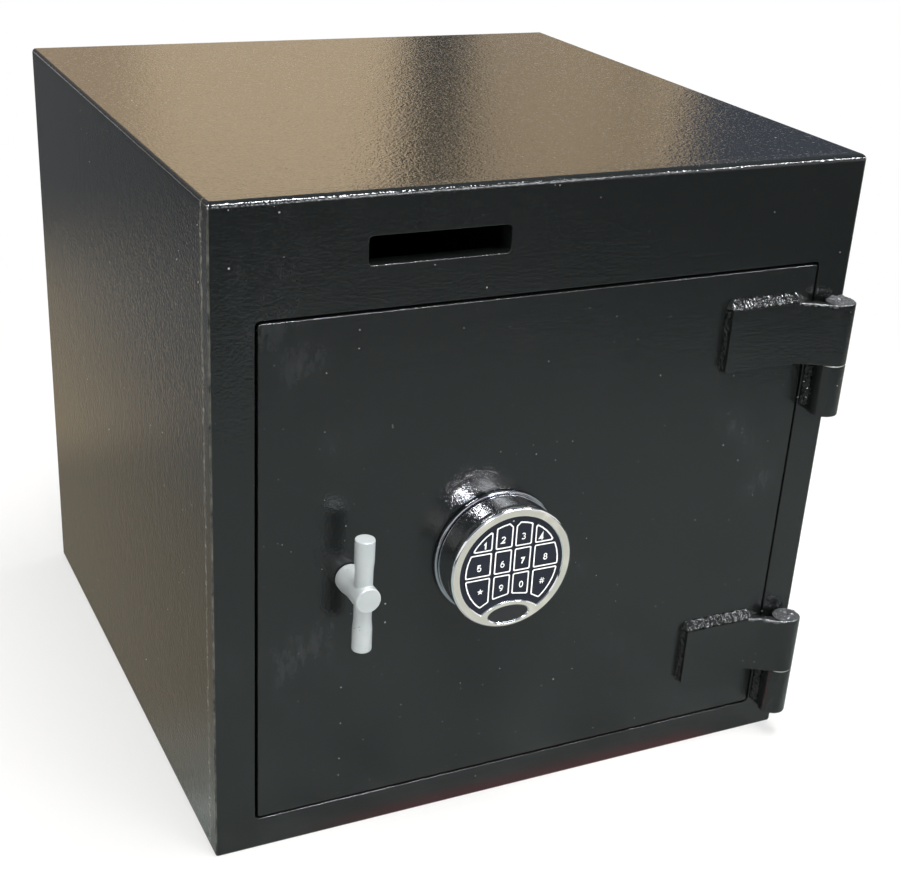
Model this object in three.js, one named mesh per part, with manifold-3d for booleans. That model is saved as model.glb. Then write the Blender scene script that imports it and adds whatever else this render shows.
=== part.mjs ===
// Drop safe: a welded steel box with a deposit slot in the band above its one door.
// The door swings on two lift-off hinges, a T-handle throws three round bolts, and a round
// entry pad outside works a swing-bolt lock inside.
// Millimetres, +Z up, origin at the centre of the underside, front towards -Y.
import * as THREE from "three";
import { mergeVertices } from "three/addons/utils/BufferGeometryUtils.js";
import Module from "manifold-3d";

// Overall size
const bodyWidth = 457;
const bodyDepth = 454;
const bodyHeight = 453;

// Clearances
const weldGap = 0.05; // between plates welded face to face
const seatGap = 0.3; // between pieces that are screwed, pressed or laid together
const runningGap = 0.6; // between pieces that move past each other
const overrun = 5; // how far a cutting shape runs past what it cuts

// Steps round a full circle, and in the quarter of a rounded corner
const largeSteps = 48;
const mediumSteps = 28;
const smallSteps = 16;
const cornerSteps = 4;

// Box plates
const frontThickness = 12.7;
const wallThickness = 6.35;
const topCornerRadius = 3;
const bottomCornerRadius = 2;
const topEdgeRadius = 4.5;
const frontEdgeRadius = 0.8;
const anchorHoleRadius = 7;
const anchorHoleInset = 75;

// Door opening, left and right as seen from the front
const latchStileWidth = 28;
const hingeStileWidth = 24.7;
const bottomRailHeight = 23.5;
const depositBandHeight = 72;
const openingRadius = 3.5;

// Deposit slot
const slotWidth = 94;
const slotHeight = 17.6;
const slotRadius = 2.5;
const slotFromLeft = 98.4;
const slotFromTop = 27;

// Deposit chute behind the slot, with its toothed baffle
const chuteSheet = 2;
const chuteSideRoom = 6;
const chuteLength = 100;
const chuteFall = 50;
const baffleSetback = 72;
const baffleLean = 14;
const baffleFlange = 18;
const bafflePassage = 26;
const toothPitch = 10;
const toothHeight = 8;

// Bars welded behind the front plate
const stopBarHeight = 20;
const stopBarThickness = 6.35;
const stopBarReach = 8;
const keeperWidth = 17;
const keeperMargin = 30;

// Door
const doorThickness = 12.7;
const doorGap = 1.8;
const doorRadius = 2;

// Hinges
const barrelRadius = 10.5;
const hingePinRadius = 6;
const hingePinReach = 34;
const hingePinDome = 3;
const fixedKnuckleHeight = 37;
const doorKnuckleHeight = 44;
const hingeWasherThickness = 1;
const bearingGap = 0.1;
const knuckleFootWidth = 17;
const knuckleCapThickness = 6;
const capDimpleRadius = 1.9;
const capDimpleDepth = 1.6;
const upperHingeDrop = 71.5;
const lowerHingeRise = 36;
const leafThickness = 6.35;
const leafLength = 58;
const leafBendFromAxis = 27.5;

// Dead bar behind the hinge edge
const deadBarThickness = 6.35;
const deadBarFoot = 24;
const deadBarStep = 4.6;
const deadBarReach = 8;
const deadBarInset = 14;
const deadBarMargin = 38;

// Handle, with its axis measured from the door's latch edge and from half the door's height
const handleFromLatch = 61.2;
const handleBelowMiddle = 1.25;
const hubRadius = 8.6;
const hubBaseRadius = 9.7;
const hubBaseHeight = 7;
const hubNeckHeight = 14;
const hubHeight = 34;
const hubEdge = 0.7;
const spokeHeight = 25;
const spokeEndRadius = 6.5;
const spokeNeckRadius = 5.9;
const spokeReach = 40;
const spokeNeckEnd = 17.5;
const spokeSwellEnd = 25;
const spokeEdge = 0.5;
const spindleRadius = 5;
const spindleThreadRadius = 4;
const spindleFlat = 1;
const spindleInHub = 20;
const bushRadius = 7.5;
const bushFlangeRadius = 10.5;
const bushFlangeThickness = 2;

// Boltwork: the handle's turn and the bolts' travel go together
const handleTurn = (70 * Math.PI) / 180;
const boltTravel = 18;
const boltRadius = 8;
const boltEndMargin = 57;
const boltSetback = 3.4;
const boltEdge = 1;
const boltStubRadius = 5;
const boltNutFlats = 16;
const boltNutThickness = 8;
const boltStubProud = 1.5;
const guideThickness = 5;
const guideFoot = 22;
const guideHeight = 34;
const guideSetback = 8.6;
const guideEndMargin = 28;
const guideRadius = 2;
const carriageThickness = 5;
const carriageBarWidth = 40;
const carriageEndMargin = 17;
const carriageTongueHeight = 58;
const boltFlangeHeight = 24;
const tailFlangeHeight = 23;
const tailFlangeWidth = 34;
const guideScrewRadius = 3;
const guideScrewHeadRadius = 6;
const guideScrewHeadHeight = 3;
const guideScrewCollarRadius = 5.5;
const guideScrewDepth = 7;
const guideScrewShare = 0.57;
const crankThickness = 6;
const crankHubRadius = 9;
const crankTipRadius = 5.5;
const crankPinRadius = 3;
const spindleNutFlats = 13;
const spindleNutThickness = 6.5;

// Lock behind the entry pad
const lockLength = 84;
const lockWidth = 61;
const lockCaseDepth = 24;
const lockCoverThickness = 3;
const lockCornerRadius = 4;
const lockPocketLength = 34;
const lockPocketFloor = 7;
const lockPocketWall = 4;
const lockBoltThickness = 12;
const lockBoltWidth = 13;
const lockBoltHeelRadius = 7;
const lockBoltTipRadius = 2.5;
const lockBoltTipRoom = 4.5;
const lockPivotInset = 12;
const lockPivotRise = 12.5;
const lockPivotRadius = 3;
const lockScrewRadius = 3;
const lockScrewHeadRadius = 5.5;
const lockScrewHeadHeight = 3.6;
const lockScrewSlot = 1.4;
const lockScrewInset = 8;
const hardPlateThickness = 6.35;
const hardPlateOverhang = 6;
const hardPlateMargin = 12.5;

// Entry pad
const padFromHandle = 105;
const padBaseRadius = 45.2;
const padBaseThickness = 3.4;
const padBaseEdge = 0.6;
const padSpigotRadius = 40.9;
const padSpigotWall = 1.9;
const padSpigotHeight = 9;
const padGroove = 0.9;
const housingRadius = 43.3;
const housingLipRadius = 44.1;
const housingFaceRadius = 42.9;
const housingWall = 2.1;
const housingHeight = 27.2;
const housingLipHeight = 20;
const housingLipEdge = 1.8;
const bezelThickness = 3.2;
const faceRadius = 37.6;
const waveRadius = 35;
const waveDepth = 59.5;
const badgeLength = 30;
const badgeHeight = 12.4;
const badgeDrop = 34.6;
const badgeRecess = 0.7;
const faceThickness = 2.6;
const faceRecess = 1;
const faceFlangeRadius = 39.4;
const faceFlangeThickness = 1.5;
const cableHoleRadius = 5;
const cableRadius = 2.4;
const cableStub = 2;
const cableSocketDepth = 4;

// Keys: four columns and three rows inside a circle, over the bezel's wave
const keyMiddleEdge = 0.9;
const keyMiddleWidth = 12.5;
const keyColumnGap = 2.2;
const keyRowGap = 1.3;
const keyMiddleRowDrop = 2.5;
const keyMiddleRowHeight = 17.2;
const keyCircleRadius = 34.4;
const keyWaveMargin = 4.7;
const keyChamfer = 3.2;
const keyCornerRadius = 0.9;
const keyHeight = 3.6;
const keyProud = 0.5;

// Battery in the entry pad
const batteryLength = 48.5;
const batteryWidth = 26.5;
const batteryThickness = 17.5;
const batteryRadius = 2;
const batteryFromCentre = 16.6;
const terminalRadius = 3;
const terminalHeight = 1.6;

// Finishes
const blackPaint = new THREE.MeshStandardMaterial({ color: 0x17191a, roughness: 0.32, metalness: 0.1 });
const silverPaint = new THREE.MeshStandardMaterial({ color: 0xc3c6c6, roughness: 0.45, metalness: 0.35 });
const nickel = new THREE.MeshStandardMaterial({ color: 0xcfcfc6, roughness: 0.22, metalness: 1 });
const darkChrome = new THREE.MeshStandardMaterial({ color: 0x6a6d74, roughness: 0.12, metalness: 1 });
const bareSteel = new THREE.MeshStandardMaterial({ color: 0x9a9a97, roughness: 0.4, metalness: 1 });
const zincPlate = new THREE.MeshStandardMaterial({ color: 0xb4b5ae, roughness: 0.35, metalness: 1 });
const brass = new THREE.MeshStandardMaterial({ color: 0xb08d4a, roughness: 0.35, metalness: 1 });
const rubber = new THREE.MeshStandardMaterial({ color: 0x23262d, roughness: 0.7, metalness: 0 });
const cableJacket = new THREE.MeshStandardMaterial({ color: 0x4a4c50, roughness: 0.6, metalness: 0 });
const batteryWrap = new THREE.MeshStandardMaterial({ color: 0x2d2f33, roughness: 0.4, metalness: 0 });

// Faces and edges that several pieces line up with
const frontY = -bodyDepth / 2;
const frontBackY = frontY + frontThickness;
const openingLeft = -bodyWidth / 2 + latchStileWidth;
const openingRight = bodyWidth / 2 - hingeStileWidth;
const openingTop = bodyHeight - depositBandHeight;
const doorLeft = openingLeft + doorGap;
const doorRight = openingRight - doorGap;
const doorBottom = bottomRailHeight + doorGap;
const doorTop = openingTop - doorGap;
const doorBackY = frontBackY + weldGap - seatGap;
const doorFrontY = doorBackY - doorThickness;
const handleX = doorLeft + handleFromLatch;
const lockHeight = (doorTop + doorBottom) / 2 - handleBelowMiddle;
const boltSpacing = (doorTop - doorBottom) / 2 - boltEndMargin;
const guideScrewHeight = boltSpacing * guideScrewShare;
const padX = handleX + padFromHandle;
const hingeX = bodyWidth / 2 - barrelRadius;
const hingeY = frontY - barrelRadius - seatGap;

const wasm = await Module();
wasm.setup();

// A closed geometry as a solid that can be joined and cut.
function solidOf(geometry) {
  const bare = geometry.clone();
  bare.deleteAttribute("normal");
  bare.deleteAttribute("uv");
  const merged = mergeVertices(bare);
  const mesh = new wasm.Mesh({
    numProp: 3,
    vertProperties: merged.attributes.position.array,
    triVerts: new Uint32Array(merged.index.array),
  });
  return new wasm.Manifold(mesh);
}

// A solid back as a faceted geometry.
function geometryOf(solid) {
  const mesh = solid.getMesh();
  const indexed = new THREE.BufferGeometry();
  indexed.setAttribute("position", new THREE.BufferAttribute(mesh.vertProperties, 3));
  indexed.setIndex(new THREE.BufferAttribute(mesh.triVerts, 1));
  const faceted = indexed.toNonIndexed();
  faceted.computeVertexNormals();
  return faceted;
}

function join(...geometries) {
  return geometryOf(geometries.map(solidOf).reduce((whole, next) => whole.add(next)));
}

function cut(geometry, ...cutters) {
  return geometryOf(cutters.map(solidOf).reduce((rest, next) => rest.subtract(next), solidOf(geometry)));
}

// An outline carried up from z = 0.
function carryUp(shape, height) {
  return new THREE.ExtrudeGeometry(shape, { depth: height, bevelEnabled: false });
}

// An outline drawn in front elevation, x to the right and y up, carried back from y = 0.
function carryBack(shape, depth) {
  return carryUp(shape, depth).rotateX(Math.PI / 2).translate(0, depth, 0);
}

// An outline drawn in side elevation, x to the back and y up, carried along x from x = 0.
function carryAlong(shape, length) {
  const turn = new THREE.Matrix4().makeBasis(
    new THREE.Vector3(0, 1, 0),
    new THREE.Vector3(0, 0, 1),
    new THREE.Vector3(1, 0, 0),
  );
  return carryUp(shape, length).applyMatrix4(turn);
}

// A plate of that kind with its front edges rounded over and its back edges left sharp.
function roundedPlate(shape, depth, radius) {
  const swept = new THREE.ExtrudeGeometry(shape, {
    depth: depth - radius,
    bevelThickness: radius,
    bevelSize: radius,
    bevelOffset: -radius,
    bevelSegments: cornerSteps - 1,
  });
  const spare = block(bodyWidth * 2, radius * 2, bodyHeight * 2);
  return cut(
    swept.rotateX(Math.PI / 2).translate(0, depth, 0),
    spare.translate(-bodyWidth, depth, -bodyHeight / 2),
  );
}

// A box with its lower left front corner at the origin.
function block(width, depth, height) {
  return new THREE.BoxGeometry(width, depth, height).translate(width / 2, depth / 2, height / 2);
}

// A profile of radius and height pairs turned about an axis.
function turned(profile, axis, steps = mediumSteps) {
  const points = profile.map(([radius, height]) => new THREE.Vector2(radius, height));
  const geometry = new THREE.LatheGeometry(points, steps);
  if (axis === "x") return geometry.rotateZ(-Math.PI / 2);
  if (axis === "z") return geometry.rotateX(Math.PI / 2);
  return geometry;
}

// A plain round bar between two heights on an axis.
function rod(radius, from, to, axis, steps = smallSteps) {
  return turned([[0, from], [radius, from], [radius, to], [0, to]], axis, steps);
}

function polygon(points) {
  return new THREE.Shape(points.map(([x, y]) => new THREE.Vector2(x, y)));
}

// Points along an arc, clockwise where it ends at the smaller angle. The steps are those of
// a full circle.
function arc(x, y, radius, from, to, steps = smallSteps) {
  const count = Math.max(2, Math.round((steps * Math.abs(to - from)) / (2 * Math.PI)));
  const curve = new THREE.EllipseCurve(x, y, radius, radius, from, to, to < from);
  return curve.getPoints(count).map((point) => point.toArray());
}

function circle(radius, steps = smallSteps) {
  return polygon(arc(0, 0, radius, 0, 2 * Math.PI, steps));
}

// A rectangle with its lower and its upper corners rounded, or left sharp where a radius is 0.
function roundedRectangle(left, bottom, width, height, lowerRadius, upperRadius = lowerRadius) {
  const right = left + width;
  const top = bottom + height;
  const centres = [
    [left + lowerRadius, bottom + lowerRadius, lowerRadius],
    [right - lowerRadius, bottom + lowerRadius, lowerRadius],
    [right - upperRadius, top - upperRadius, upperRadius],
    [left + upperRadius, top - upperRadius, upperRadius],
  ];
  return polygon(centres.flatMap(([x, y, radius], i) => {
    const start = ((i + 2) * Math.PI) / 2;
    return radius === 0 ? [[x, y]] : arc(x, y, radius, start, start + Math.PI / 2);
  }));
}

// A slot with round ends about two centres
function longHole(fromX, fromY, toX, toY, radius) {
  const across = Math.atan2(toY - fromY, toX - fromX);
  return polygon([
    ...arc(fromX, fromY, radius, across + Math.PI / 2, across + (3 * Math.PI) / 2),
    ...arc(toX, toY, radius, across - Math.PI / 2, across + Math.PI / 2),
  ]);
}

function hexNut(flats, holeRadius, thickness, axis) {
  const corner = flats / Math.sqrt(3);
  const corners = Array.from({ length: 6 }, (_, i) => {
    const angle = ((i + 0.5) * Math.PI) / 3;
    return [corner * Math.cos(angle), corner * Math.sin(angle)];
  });
  const shape = polygon(corners);
  shape.holes.push(circle(holeRadius));
  return axis === "x" ? carryAlong(shape, thickness) : carryBack(shape, thickness);
}

function group(parent, x = 0, y = 0, z = 0) {
  const made = new THREE.Group();
  made.position.set(x, y, z);
  parent.add(made);
  return made;
}

function piece(parent, name, geometry, material, x = 0, y = 0, z = 0) {
  const mesh = new THREE.Mesh(geometry, material);
  mesh.name = name;
  mesh.position.set(x, y, z);
  parent.add(mesh);
  return mesh;
}

const safe = new THREE.Group();

// Welded box
function frontPlate() {
  const outline = roundedRectangle(
    -bodyWidth / 2, 0, bodyWidth, bodyHeight, bottomCornerRadius, topCornerRadius,
  );
  const openingWidth = openingRight - openingLeft;
  const openingHeight = openingTop - bottomRailHeight;
  outline.holes.push(
    roundedRectangle(openingLeft, bottomRailHeight, openingWidth, openingHeight, openingRadius),
    roundedRectangle(slotLeft, slotBottom, slotWidth, slotHeight, slotRadius),
  );
  const overTopEdge = polygon([
    [-overrun, bodyHeight + overrun],
    [-overrun, bodyHeight - topEdgeRadius],
    ...arc(topEdgeRadius, bodyHeight - topEdgeRadius, topEdgeRadius, Math.PI, Math.PI / 2, mediumSteps),
    [topEdgeRadius, bodyHeight + overrun],
  ]);
  const cutter = carryAlong(overTopEdge, bodyWidth + 2 * overrun);
  return cut(
    roundedPlate(outline, frontThickness, frontEdgeRadius),
    cutter.translate(-bodyWidth / 2 - overrun, 0, 0),
  );
}

function bottomPlate(depth) {
  const outline = roundedRectangle(-bodyWidth / 2, 0, bodyWidth, wallThickness, bottomCornerRadius, 0);
  const holes = [];
  for (const side of [-1, 1]) {
    for (const y of [anchorHoleInset, depth - anchorHoleInset]) {
      const hole = rod(anchorHoleRadius, -overrun, wallThickness + overrun, "z");
      holes.push(hole.translate(side * (bodyWidth / 2 - anchorHoleInset), y, 0));
    }
  }
  return cut(carryBack(outline, depth), ...holes);
}

const slotLeft = -bodyWidth / 2 + slotFromLeft;
const slotBottom = bodyHeight - slotFromTop - slotHeight;

const box = group(safe);
const behindFront = frontBackY + weldGap;
const plateDepth = bodyDepth - frontThickness - weldGap;
const wallHeight = bodyHeight - 2 * wallThickness - 2 * weldGap;
const wallBottom = wallThickness + weldGap;
const topOutline = roundedRectangle(
  -bodyWidth / 2, bodyHeight - wallThickness, bodyWidth, wallThickness, 0, topCornerRadius,
);
const innerWidth = bodyWidth - 2 * wallThickness - 2 * weldGap;
piece(box, "front_plate", frontPlate(), blackPaint, 0, frontY, 0);
piece(box, "top_plate", carryBack(topOutline, plateDepth), blackPaint, 0, behindFront, 0);
piece(box, "bottom_plate", bottomPlate(plateDepth), blackPaint, 0, behindFront, 0);
const wall = block(wallThickness, plateDepth, wallHeight);
piece(box, "left_side", wall, blackPaint, -bodyWidth / 2, behindFront, wallBottom);
piece(box, "right_side", wall.clone(), blackPaint, bodyWidth / 2 - wallThickness, behindFront, wallBottom);
const backPlate = block(innerWidth, wallThickness, wallHeight);
piece(box, "back_plate", backPlate, blackPaint, -innerWidth / 2, bodyDepth / 2 - wallThickness, wallBottom);

// Stop bars for the door, and the bar that the bolts run behind
const stopBar = block(innerWidth, stopBarThickness, stopBarHeight);
const topStopZ = openingTop - stopBarReach;
const bottomStopZ = bottomRailHeight + stopBarReach - stopBarHeight;
piece(box, "top_door_stop", stopBar, blackPaint, -innerWidth / 2, behindFront, topStopZ);
piece(box, "bottom_door_stop", stopBar.clone(), blackPaint, -innerWidth / 2, behindFront, bottomStopZ);
const boltNutHalf = boltNutFlats / 2;
const carriageY = guideThickness + runningGap;
const boltY = carriageY + carriageThickness + boltNutHalf + runningGap;
const keeperThickness = doorBackY + boltY - boltRadius - runningGap - behindFront;
const keeperHeight = 2 * (boltSpacing + keeperMargin);
const keeper = block(keeperWidth, keeperThickness, keeperHeight);
piece(box, "bolt_keeper", keeper, blackPaint, -innerWidth / 2, behindFront, lockHeight - keeperHeight / 2);

// Deposit chute: a sloping floor between two cheeks that hang from the top plate
const chuteInnerWidth = slotWidth + 2 * chuteSideRoom;
const chuteTop = bodyHeight - wallThickness - weldGap - slotBottom;
const chuteSlope = chuteFall / chuteLength;
const chuteUnder = chuteSheet * Math.hypot(1, chuteSlope);

function depositChute() {
  const floor = polygon([
    [0, -chuteUnder],
    [chuteLength, -chuteFall - chuteUnder],
    [chuteLength, -chuteFall],
    [0, 0],
  ]);
  const cheek = polygon([
    [0, -chuteUnder],
    [chuteLength, -chuteFall - chuteUnder],
    [chuteLength, chuteTop],
    [0, chuteTop],
  ]);
  const width = chuteInnerWidth + 2 * chuteSheet;
  return join(
    carryAlong(floor, width).translate(-width / 2, 0, 0),
    carryAlong(cheek, chuteSheet).translate(-width / 2, 0, 0),
    carryAlong(cheek, chuteSheet).translate(chuteInnerWidth / 2, 0, 0),
  );
}

// The baffle hangs in the chute, leans towards the slot and ends in a row of teeth.
function antiFishBaffle() {
  const tipY = baffleSetback - baffleLean;
  const tipZ = bafflePassage - tipY * chuteSlope;
  const side = polygon([
    [baffleSetback + baffleFlange, chuteTop],
    [baffleSetback, chuteTop],
    [tipY, tipZ],
    [tipY + chuteSheet, tipZ],
    [baffleSetback + chuteSheet, chuteTop - chuteSheet],
    [baffleSetback + baffleFlange, chuteTop - chuteSheet],
  ]);
  const width = chuteInnerWidth - 2 * seatGap;
  const sheet = carryAlong(side, width).translate(-width / 2, 0, 0);
  const teeth = Math.floor(width / toothPitch);
  const notches = Array.from({ length: teeth }, (_, i) => {
    const middle = (i - (teeth - 1) / 2) * toothPitch;
    const notch = polygon([
      [middle - toothPitch / 2, tipZ - overrun],
      [middle + toothPitch / 2, tipZ - overrun],
      [middle + toothPitch / 2 - weldGap, tipZ],
      [middle, tipZ + toothHeight],
      [middle - toothPitch / 2 + weldGap, tipZ],
    ]);
    return carryBack(notch, baffleSetback).translate(0, tipY - overrun, 0);
  });
  return cut(sheet, ...notches);
}

const slotMiddle = slotLeft + slotWidth / 2;
piece(box, "deposit_chute", depositChute(), blackPaint, slotMiddle, behindFront, slotBottom);
piece(box, "anti_fish_baffle", antiFishBaffle(), blackPaint, slotMiddle, behindFront, slotBottom);

// Door
const door = group(safe);

function doorPlate() {
  const width = doorRight - doorLeft;
  const outline = roundedRectangle(doorLeft, doorBottom, width, doorTop - doorBottom, doorRadius);
  const past = doorThickness + overrun;
  const guideHoles = [-1, 1].map((side) =>
    rod(guideScrewRadius + seatGap, doorThickness - guideScrewDepth - seatGap, past, "y")
      .translate(handleX + guideScrewX, 0, lockHeight + side * guideScrewHeight));
  return cut(
    roundedPlate(outline, doorThickness, frontEdgeRadius),
    rod(bushRadius + seatGap, -overrun, past, "y", mediumSteps).translate(handleX, 0, lockHeight),
    rod(cableHoleRadius, -overrun, past, "y").translate(padX, 0, lockHeight),
    ...guideHoles,
  );
}

// Plan of the door's hinge half: the strap lies on the door, then bends out to meet the
// front of the barrel at a tangent.
function leafOutline() {
  const backY = doorFrontY - weldGap - hingeY;
  const frontEdge = backY - leafThickness;
  const bendX = -leafBendFromAxis;
  const toBend = Math.atan2(frontEdge, bendX);
  const frontAngle = toBend + Math.acos(barrelRadius / Math.hypot(bendX, frontEdge));
  const backDistance = barrelRadius - leafThickness;
  const backAngle = frontAngle - Math.acos(backDistance / barrelRadius);
  const strapDirection = frontAngle + Math.PI / 2;
  const backStart = [barrelRadius * Math.cos(backAngle), barrelRadius * Math.sin(backAngle)];
  const backRun = (backY - backStart[1]) / Math.sin(strapDirection);
  return polygon([
    [bendX - leafLength, backY],
    [bendX - leafLength, frontEdge],
    [bendX, frontEdge],
    ...arc(0, 0, barrelRadius, frontAngle, backAngle + 2 * Math.PI, mediumSteps),
    [backStart[0] + backRun * Math.cos(strapDirection), backY],
  ]);
}

function hingeLeaf() {
  const boreTop = doorKnuckleHeight - knuckleCapThickness;
  const bore = rod(hingePinRadius + seatGap, -overrun, boreTop, "z", mediumSteps);
  const dimpleBottom = doorKnuckleHeight - capDimpleDepth;
  const dimple = rod(capDimpleRadius, dimpleBottom, doorKnuckleHeight + overrun, "z");
  return cut(carryUp(leafOutline(), doorKnuckleHeight), bore, dimple);
}

// The fixed half stands on a foot welded to the front plate.
function fixedKnuckle() {
  const halfFoot = knuckleFootWidth / 2;
  const footY = Math.sqrt(barrelRadius ** 2 - halfFoot ** 2);
  const wallY = frontY - hingeY - weldGap;
  const start = Math.atan2(footY, -halfFoot);
  const end = Math.atan2(footY, halfFoot) + 2 * Math.PI;
  const outline = polygon([
    [halfFoot, wallY],
    [-halfFoot, wallY],
    ...arc(0, 0, barrelRadius, start, end, mediumSteps),
  ]);
  outline.holes.push(circle(hingePinRadius + seatGap, mediumSteps));
  return carryUp(outline, fixedKnuckleHeight);
}

function hingePin() {
  const top = fixedKnuckleHeight + hingePinReach;
  return turned([
    [0, 0],
    [hingePinRadius, 0],
    [hingePinRadius, top - hingePinDome],
    [hingePinRadius - hingePinDome, top],
    [0, top],
  ], "z");
}

function hingeWasher() {
  const outer = barrelRadius - seatGap;
  const inner = hingePinRadius + seatGap;
  const top = hingeWasherThickness;
  return turned([[inner, 0], [outer, 0], [outer, top], [inner, top], [inner, 0]], "z");
}

const hingeLevels = [["upper", openingTop - upperHingeDrop], ["lower", bottomRailHeight + lowerHingeRise]];
for (const [place, level] of hingeLevels) {
  const fixed = group(safe, hingeX, hingeY, level - fixedKnuckleHeight);
  piece(fixed, place + "_hinge_knuckle", fixedKnuckle(), blackPaint);
  piece(fixed, place + "_hinge_pin", hingePin(), bareSteel);
  piece(fixed, place + "_hinge_washer", hingeWasher(), zincPlate, 0, 0, fixedKnuckleHeight + bearingGap);
  const leafLevel = level + hingeWasherThickness + 2 * bearingGap;
  piece(door, place + "_hinge_leaf", hingeLeaf(), blackPaint, hingeX, hingeY, leafLevel);
}

// Dead bar: a strip stepped back to clear the stile, with its lip behind it
function deadBar() {
  const start = -deadBarInset - deadBarFoot;
  const lip = openingRight + deadBarReach - doorRight;
  const lean = deadBarThickness * Math.tan(Math.PI / 8);
  const outline = polygon([
    [start, 0],
    [-deadBarInset, 0],
    [-deadBarInset + deadBarStep, deadBarStep],
    [lip, deadBarStep],
    [lip, deadBarStep + deadBarThickness],
    [-deadBarInset + deadBarStep - lean, deadBarStep + deadBarThickness],
    [-deadBarInset - lean, deadBarThickness],
    [start, deadBarThickness],
  ]);
  return carryUp(outline, doorTop - doorBottom - 2 * deadBarMargin);
}

// Boltwork, placed from the handle's axis at the door's inner face
const works = group(door, handleX, doorBackY, lockHeight);
const guideOuterX = -handleFromLatch + guideSetback;
const flangeX = guideOuterX + guideThickness + guideRadius + boltTravel;
const boltLevels = [boltSpacing, 0, -boltSpacing];
const boltNames = ["upper", "middle", "lower"];
const crankRadius = boltTravel / 2 / Math.sin(handleTurn / 2);
const pinRestX = boltTravel / 2;
const pinRestZ = crankRadius * Math.cos(handleTurn / 2);
const guideScrewX = flangeX + carriageThickness + guideScrewHeadRadius + runningGap;
const tailX = crankHubRadius + runningGap + boltTravel + runningGap;
const tailOuterX = tailX + carriageThickness;
const lockX = tailOuterX + runningGap;
const crankY = carriageY + carriageThickness + runningGap;

piece(door, "door_plate", doorPlate(), blackPaint, 0, doorFrontY, 0);
piece(door, "dead_bar", deadBar(), blackPaint, doorRight, doorBackY + weldGap, doorBottom + deadBarMargin);

// Angle rail that carries the bolts' outer ends
function boltGuide() {
  const root = guideThickness + guideRadius;
  const outline = polygon([
    [0, 0],
    [guideFoot, 0],
    [guideFoot, guideThickness],
    ...arc(root, root, guideRadius, (3 * Math.PI) / 2, Math.PI),
    [guideThickness, guideHeight],
    [0, guideHeight],
  ]);
  const length = 2 * (boltSpacing + guideEndMargin);
  const rail = carryUp(outline, length);
  const holes = boltLevels.map((level) =>
    rod(boltRadius + seatGap, -overrun, guideFoot + overrun, "x", mediumSteps).translate(0, boltY, level));
  return cut(rail.translate(0, 0, -length / 2), ...holes);
}

// Sliding carriage: a slotted plate, with a flange for the bolts and one for the lock
function boltCarriage() {
  const halfBar = boltSpacing + carriageEndMargin;
  const halfTongue = carriageTongueHeight / 2;
  const barRight = flangeX + carriageBarWidth;
  const outline = polygon([
    [flangeX, -halfBar],
    [barRight, -halfBar],
    [barRight, -halfTongue],
    [tailOuterX, -halfTongue],
    [tailOuterX, halfTongue],
    [barRight, halfTongue],
    [barRight, halfBar],
    [flangeX, halfBar],
  ]);
  const spindleSlot = spindleRadius + runningGap;
  const pinSlot = crankPinRadius + runningGap;
  const screwSlot = guideScrewRadius + runningGap;
  outline.holes.push(longHole(0, 0, boltTravel, 0, spindleSlot));
  outline.holes.push(longHole(pinRestX, pinRestZ, pinRestX, crankRadius, pinSlot));
  for (const side of [-1, 1]) {
    const level = side * guideScrewHeight;
    outline.holes.push(longHole(guideScrewX, level, guideScrewX + boltTravel, level, screwSlot));
  }
  const flange = block(carriageThickness, boltFlangeHeight, 2 * halfBar);
  const tail = block(carriageThickness, tailFlangeHeight, tailFlangeWidth);
  const stubHoles = boltLevels.map((level) =>
    rod(boltStubRadius + seatGap, flangeX - overrun, flangeX + carriageThickness + overrun, "x")
      .translate(0, boltY, level));
  const body = join(
    carryBack(outline, carriageThickness).translate(0, carriageY, 0),
    flange.translate(flangeX, carriageY, -halfBar),
    tail.translate(tailX, carriageY, -tailFlangeWidth / 2),
  );
  return cut(body, ...stubHoles);
}

// A bolt has a bevelled nose, and a stub that goes through the carriage's flange to a nut.
function lockingBolt() {
  const length = flangeX - seatGap - (boltSetback - handleFromLatch);
  const stubEnd = length + seatGap + carriageThickness + seatGap + boltNutThickness + boltStubProud;
  return turned([
    [0, 0],
    [boltRadius - boltEdge, 0],
    [boltRadius, boltEdge],
    [boltRadius, length],
    [boltStubRadius, length],
    [boltStubRadius, stubEnd],
    [0, stubEnd],
  ], "x");
}

// Shoulder screw: the carriage slides between its collar and its head.
function guideScrew() {
  const shank = guideScrewRadius;
  const collarEnd = carriageY - seatGap;
  const headStart = carriageY + carriageThickness + seatGap;
  const headEnd = headStart + guideScrewHeadHeight;
  return turned([
    [0, -guideScrewDepth],
    [shank, -guideScrewDepth],
    [shank, seatGap],
    [guideScrewCollarRadius, seatGap],
    [guideScrewCollarRadius, collarEnd],
    [shank, collarEnd],
    [shank, headStart],
    [guideScrewHeadRadius, headStart],
    [guideScrewHeadRadius, headEnd],
    [0, headEnd],
  ], "y", smallSteps);
}

piece(works, "bolt_guide", boltGuide(), blackPaint, guideOuterX, weldGap, 0);
piece(works, "upper_guide_screw", guideScrew(), zincPlate, guideScrewX, 0, guideScrewHeight);
piece(works, "lower_guide_screw", guideScrew(), zincPlate, guideScrewX, 0, -guideScrewHeight);
piece(works, "bolt_carriage", boltCarriage(), zincPlate);
boltLevels.forEach((level, i) => {
  const nutX = flangeX + carriageThickness + seatGap;
  const nut = hexNut(boltNutFlats, boltStubRadius + seatGap, boltNutThickness, "x");
  piece(works, boltNames[i] + "_bolt", lockingBolt(), bareSteel, boltSetback - handleFromLatch, boltY, level);
  piece(works, boltNames[i] + "_bolt_nut", nut, zincPlate, nutX, boltY, level);
});

// Handle: a hub with two spokes, on a spindle that carries the crank
const handle = group(door, handleX, doorFrontY, lockHeight);

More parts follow.
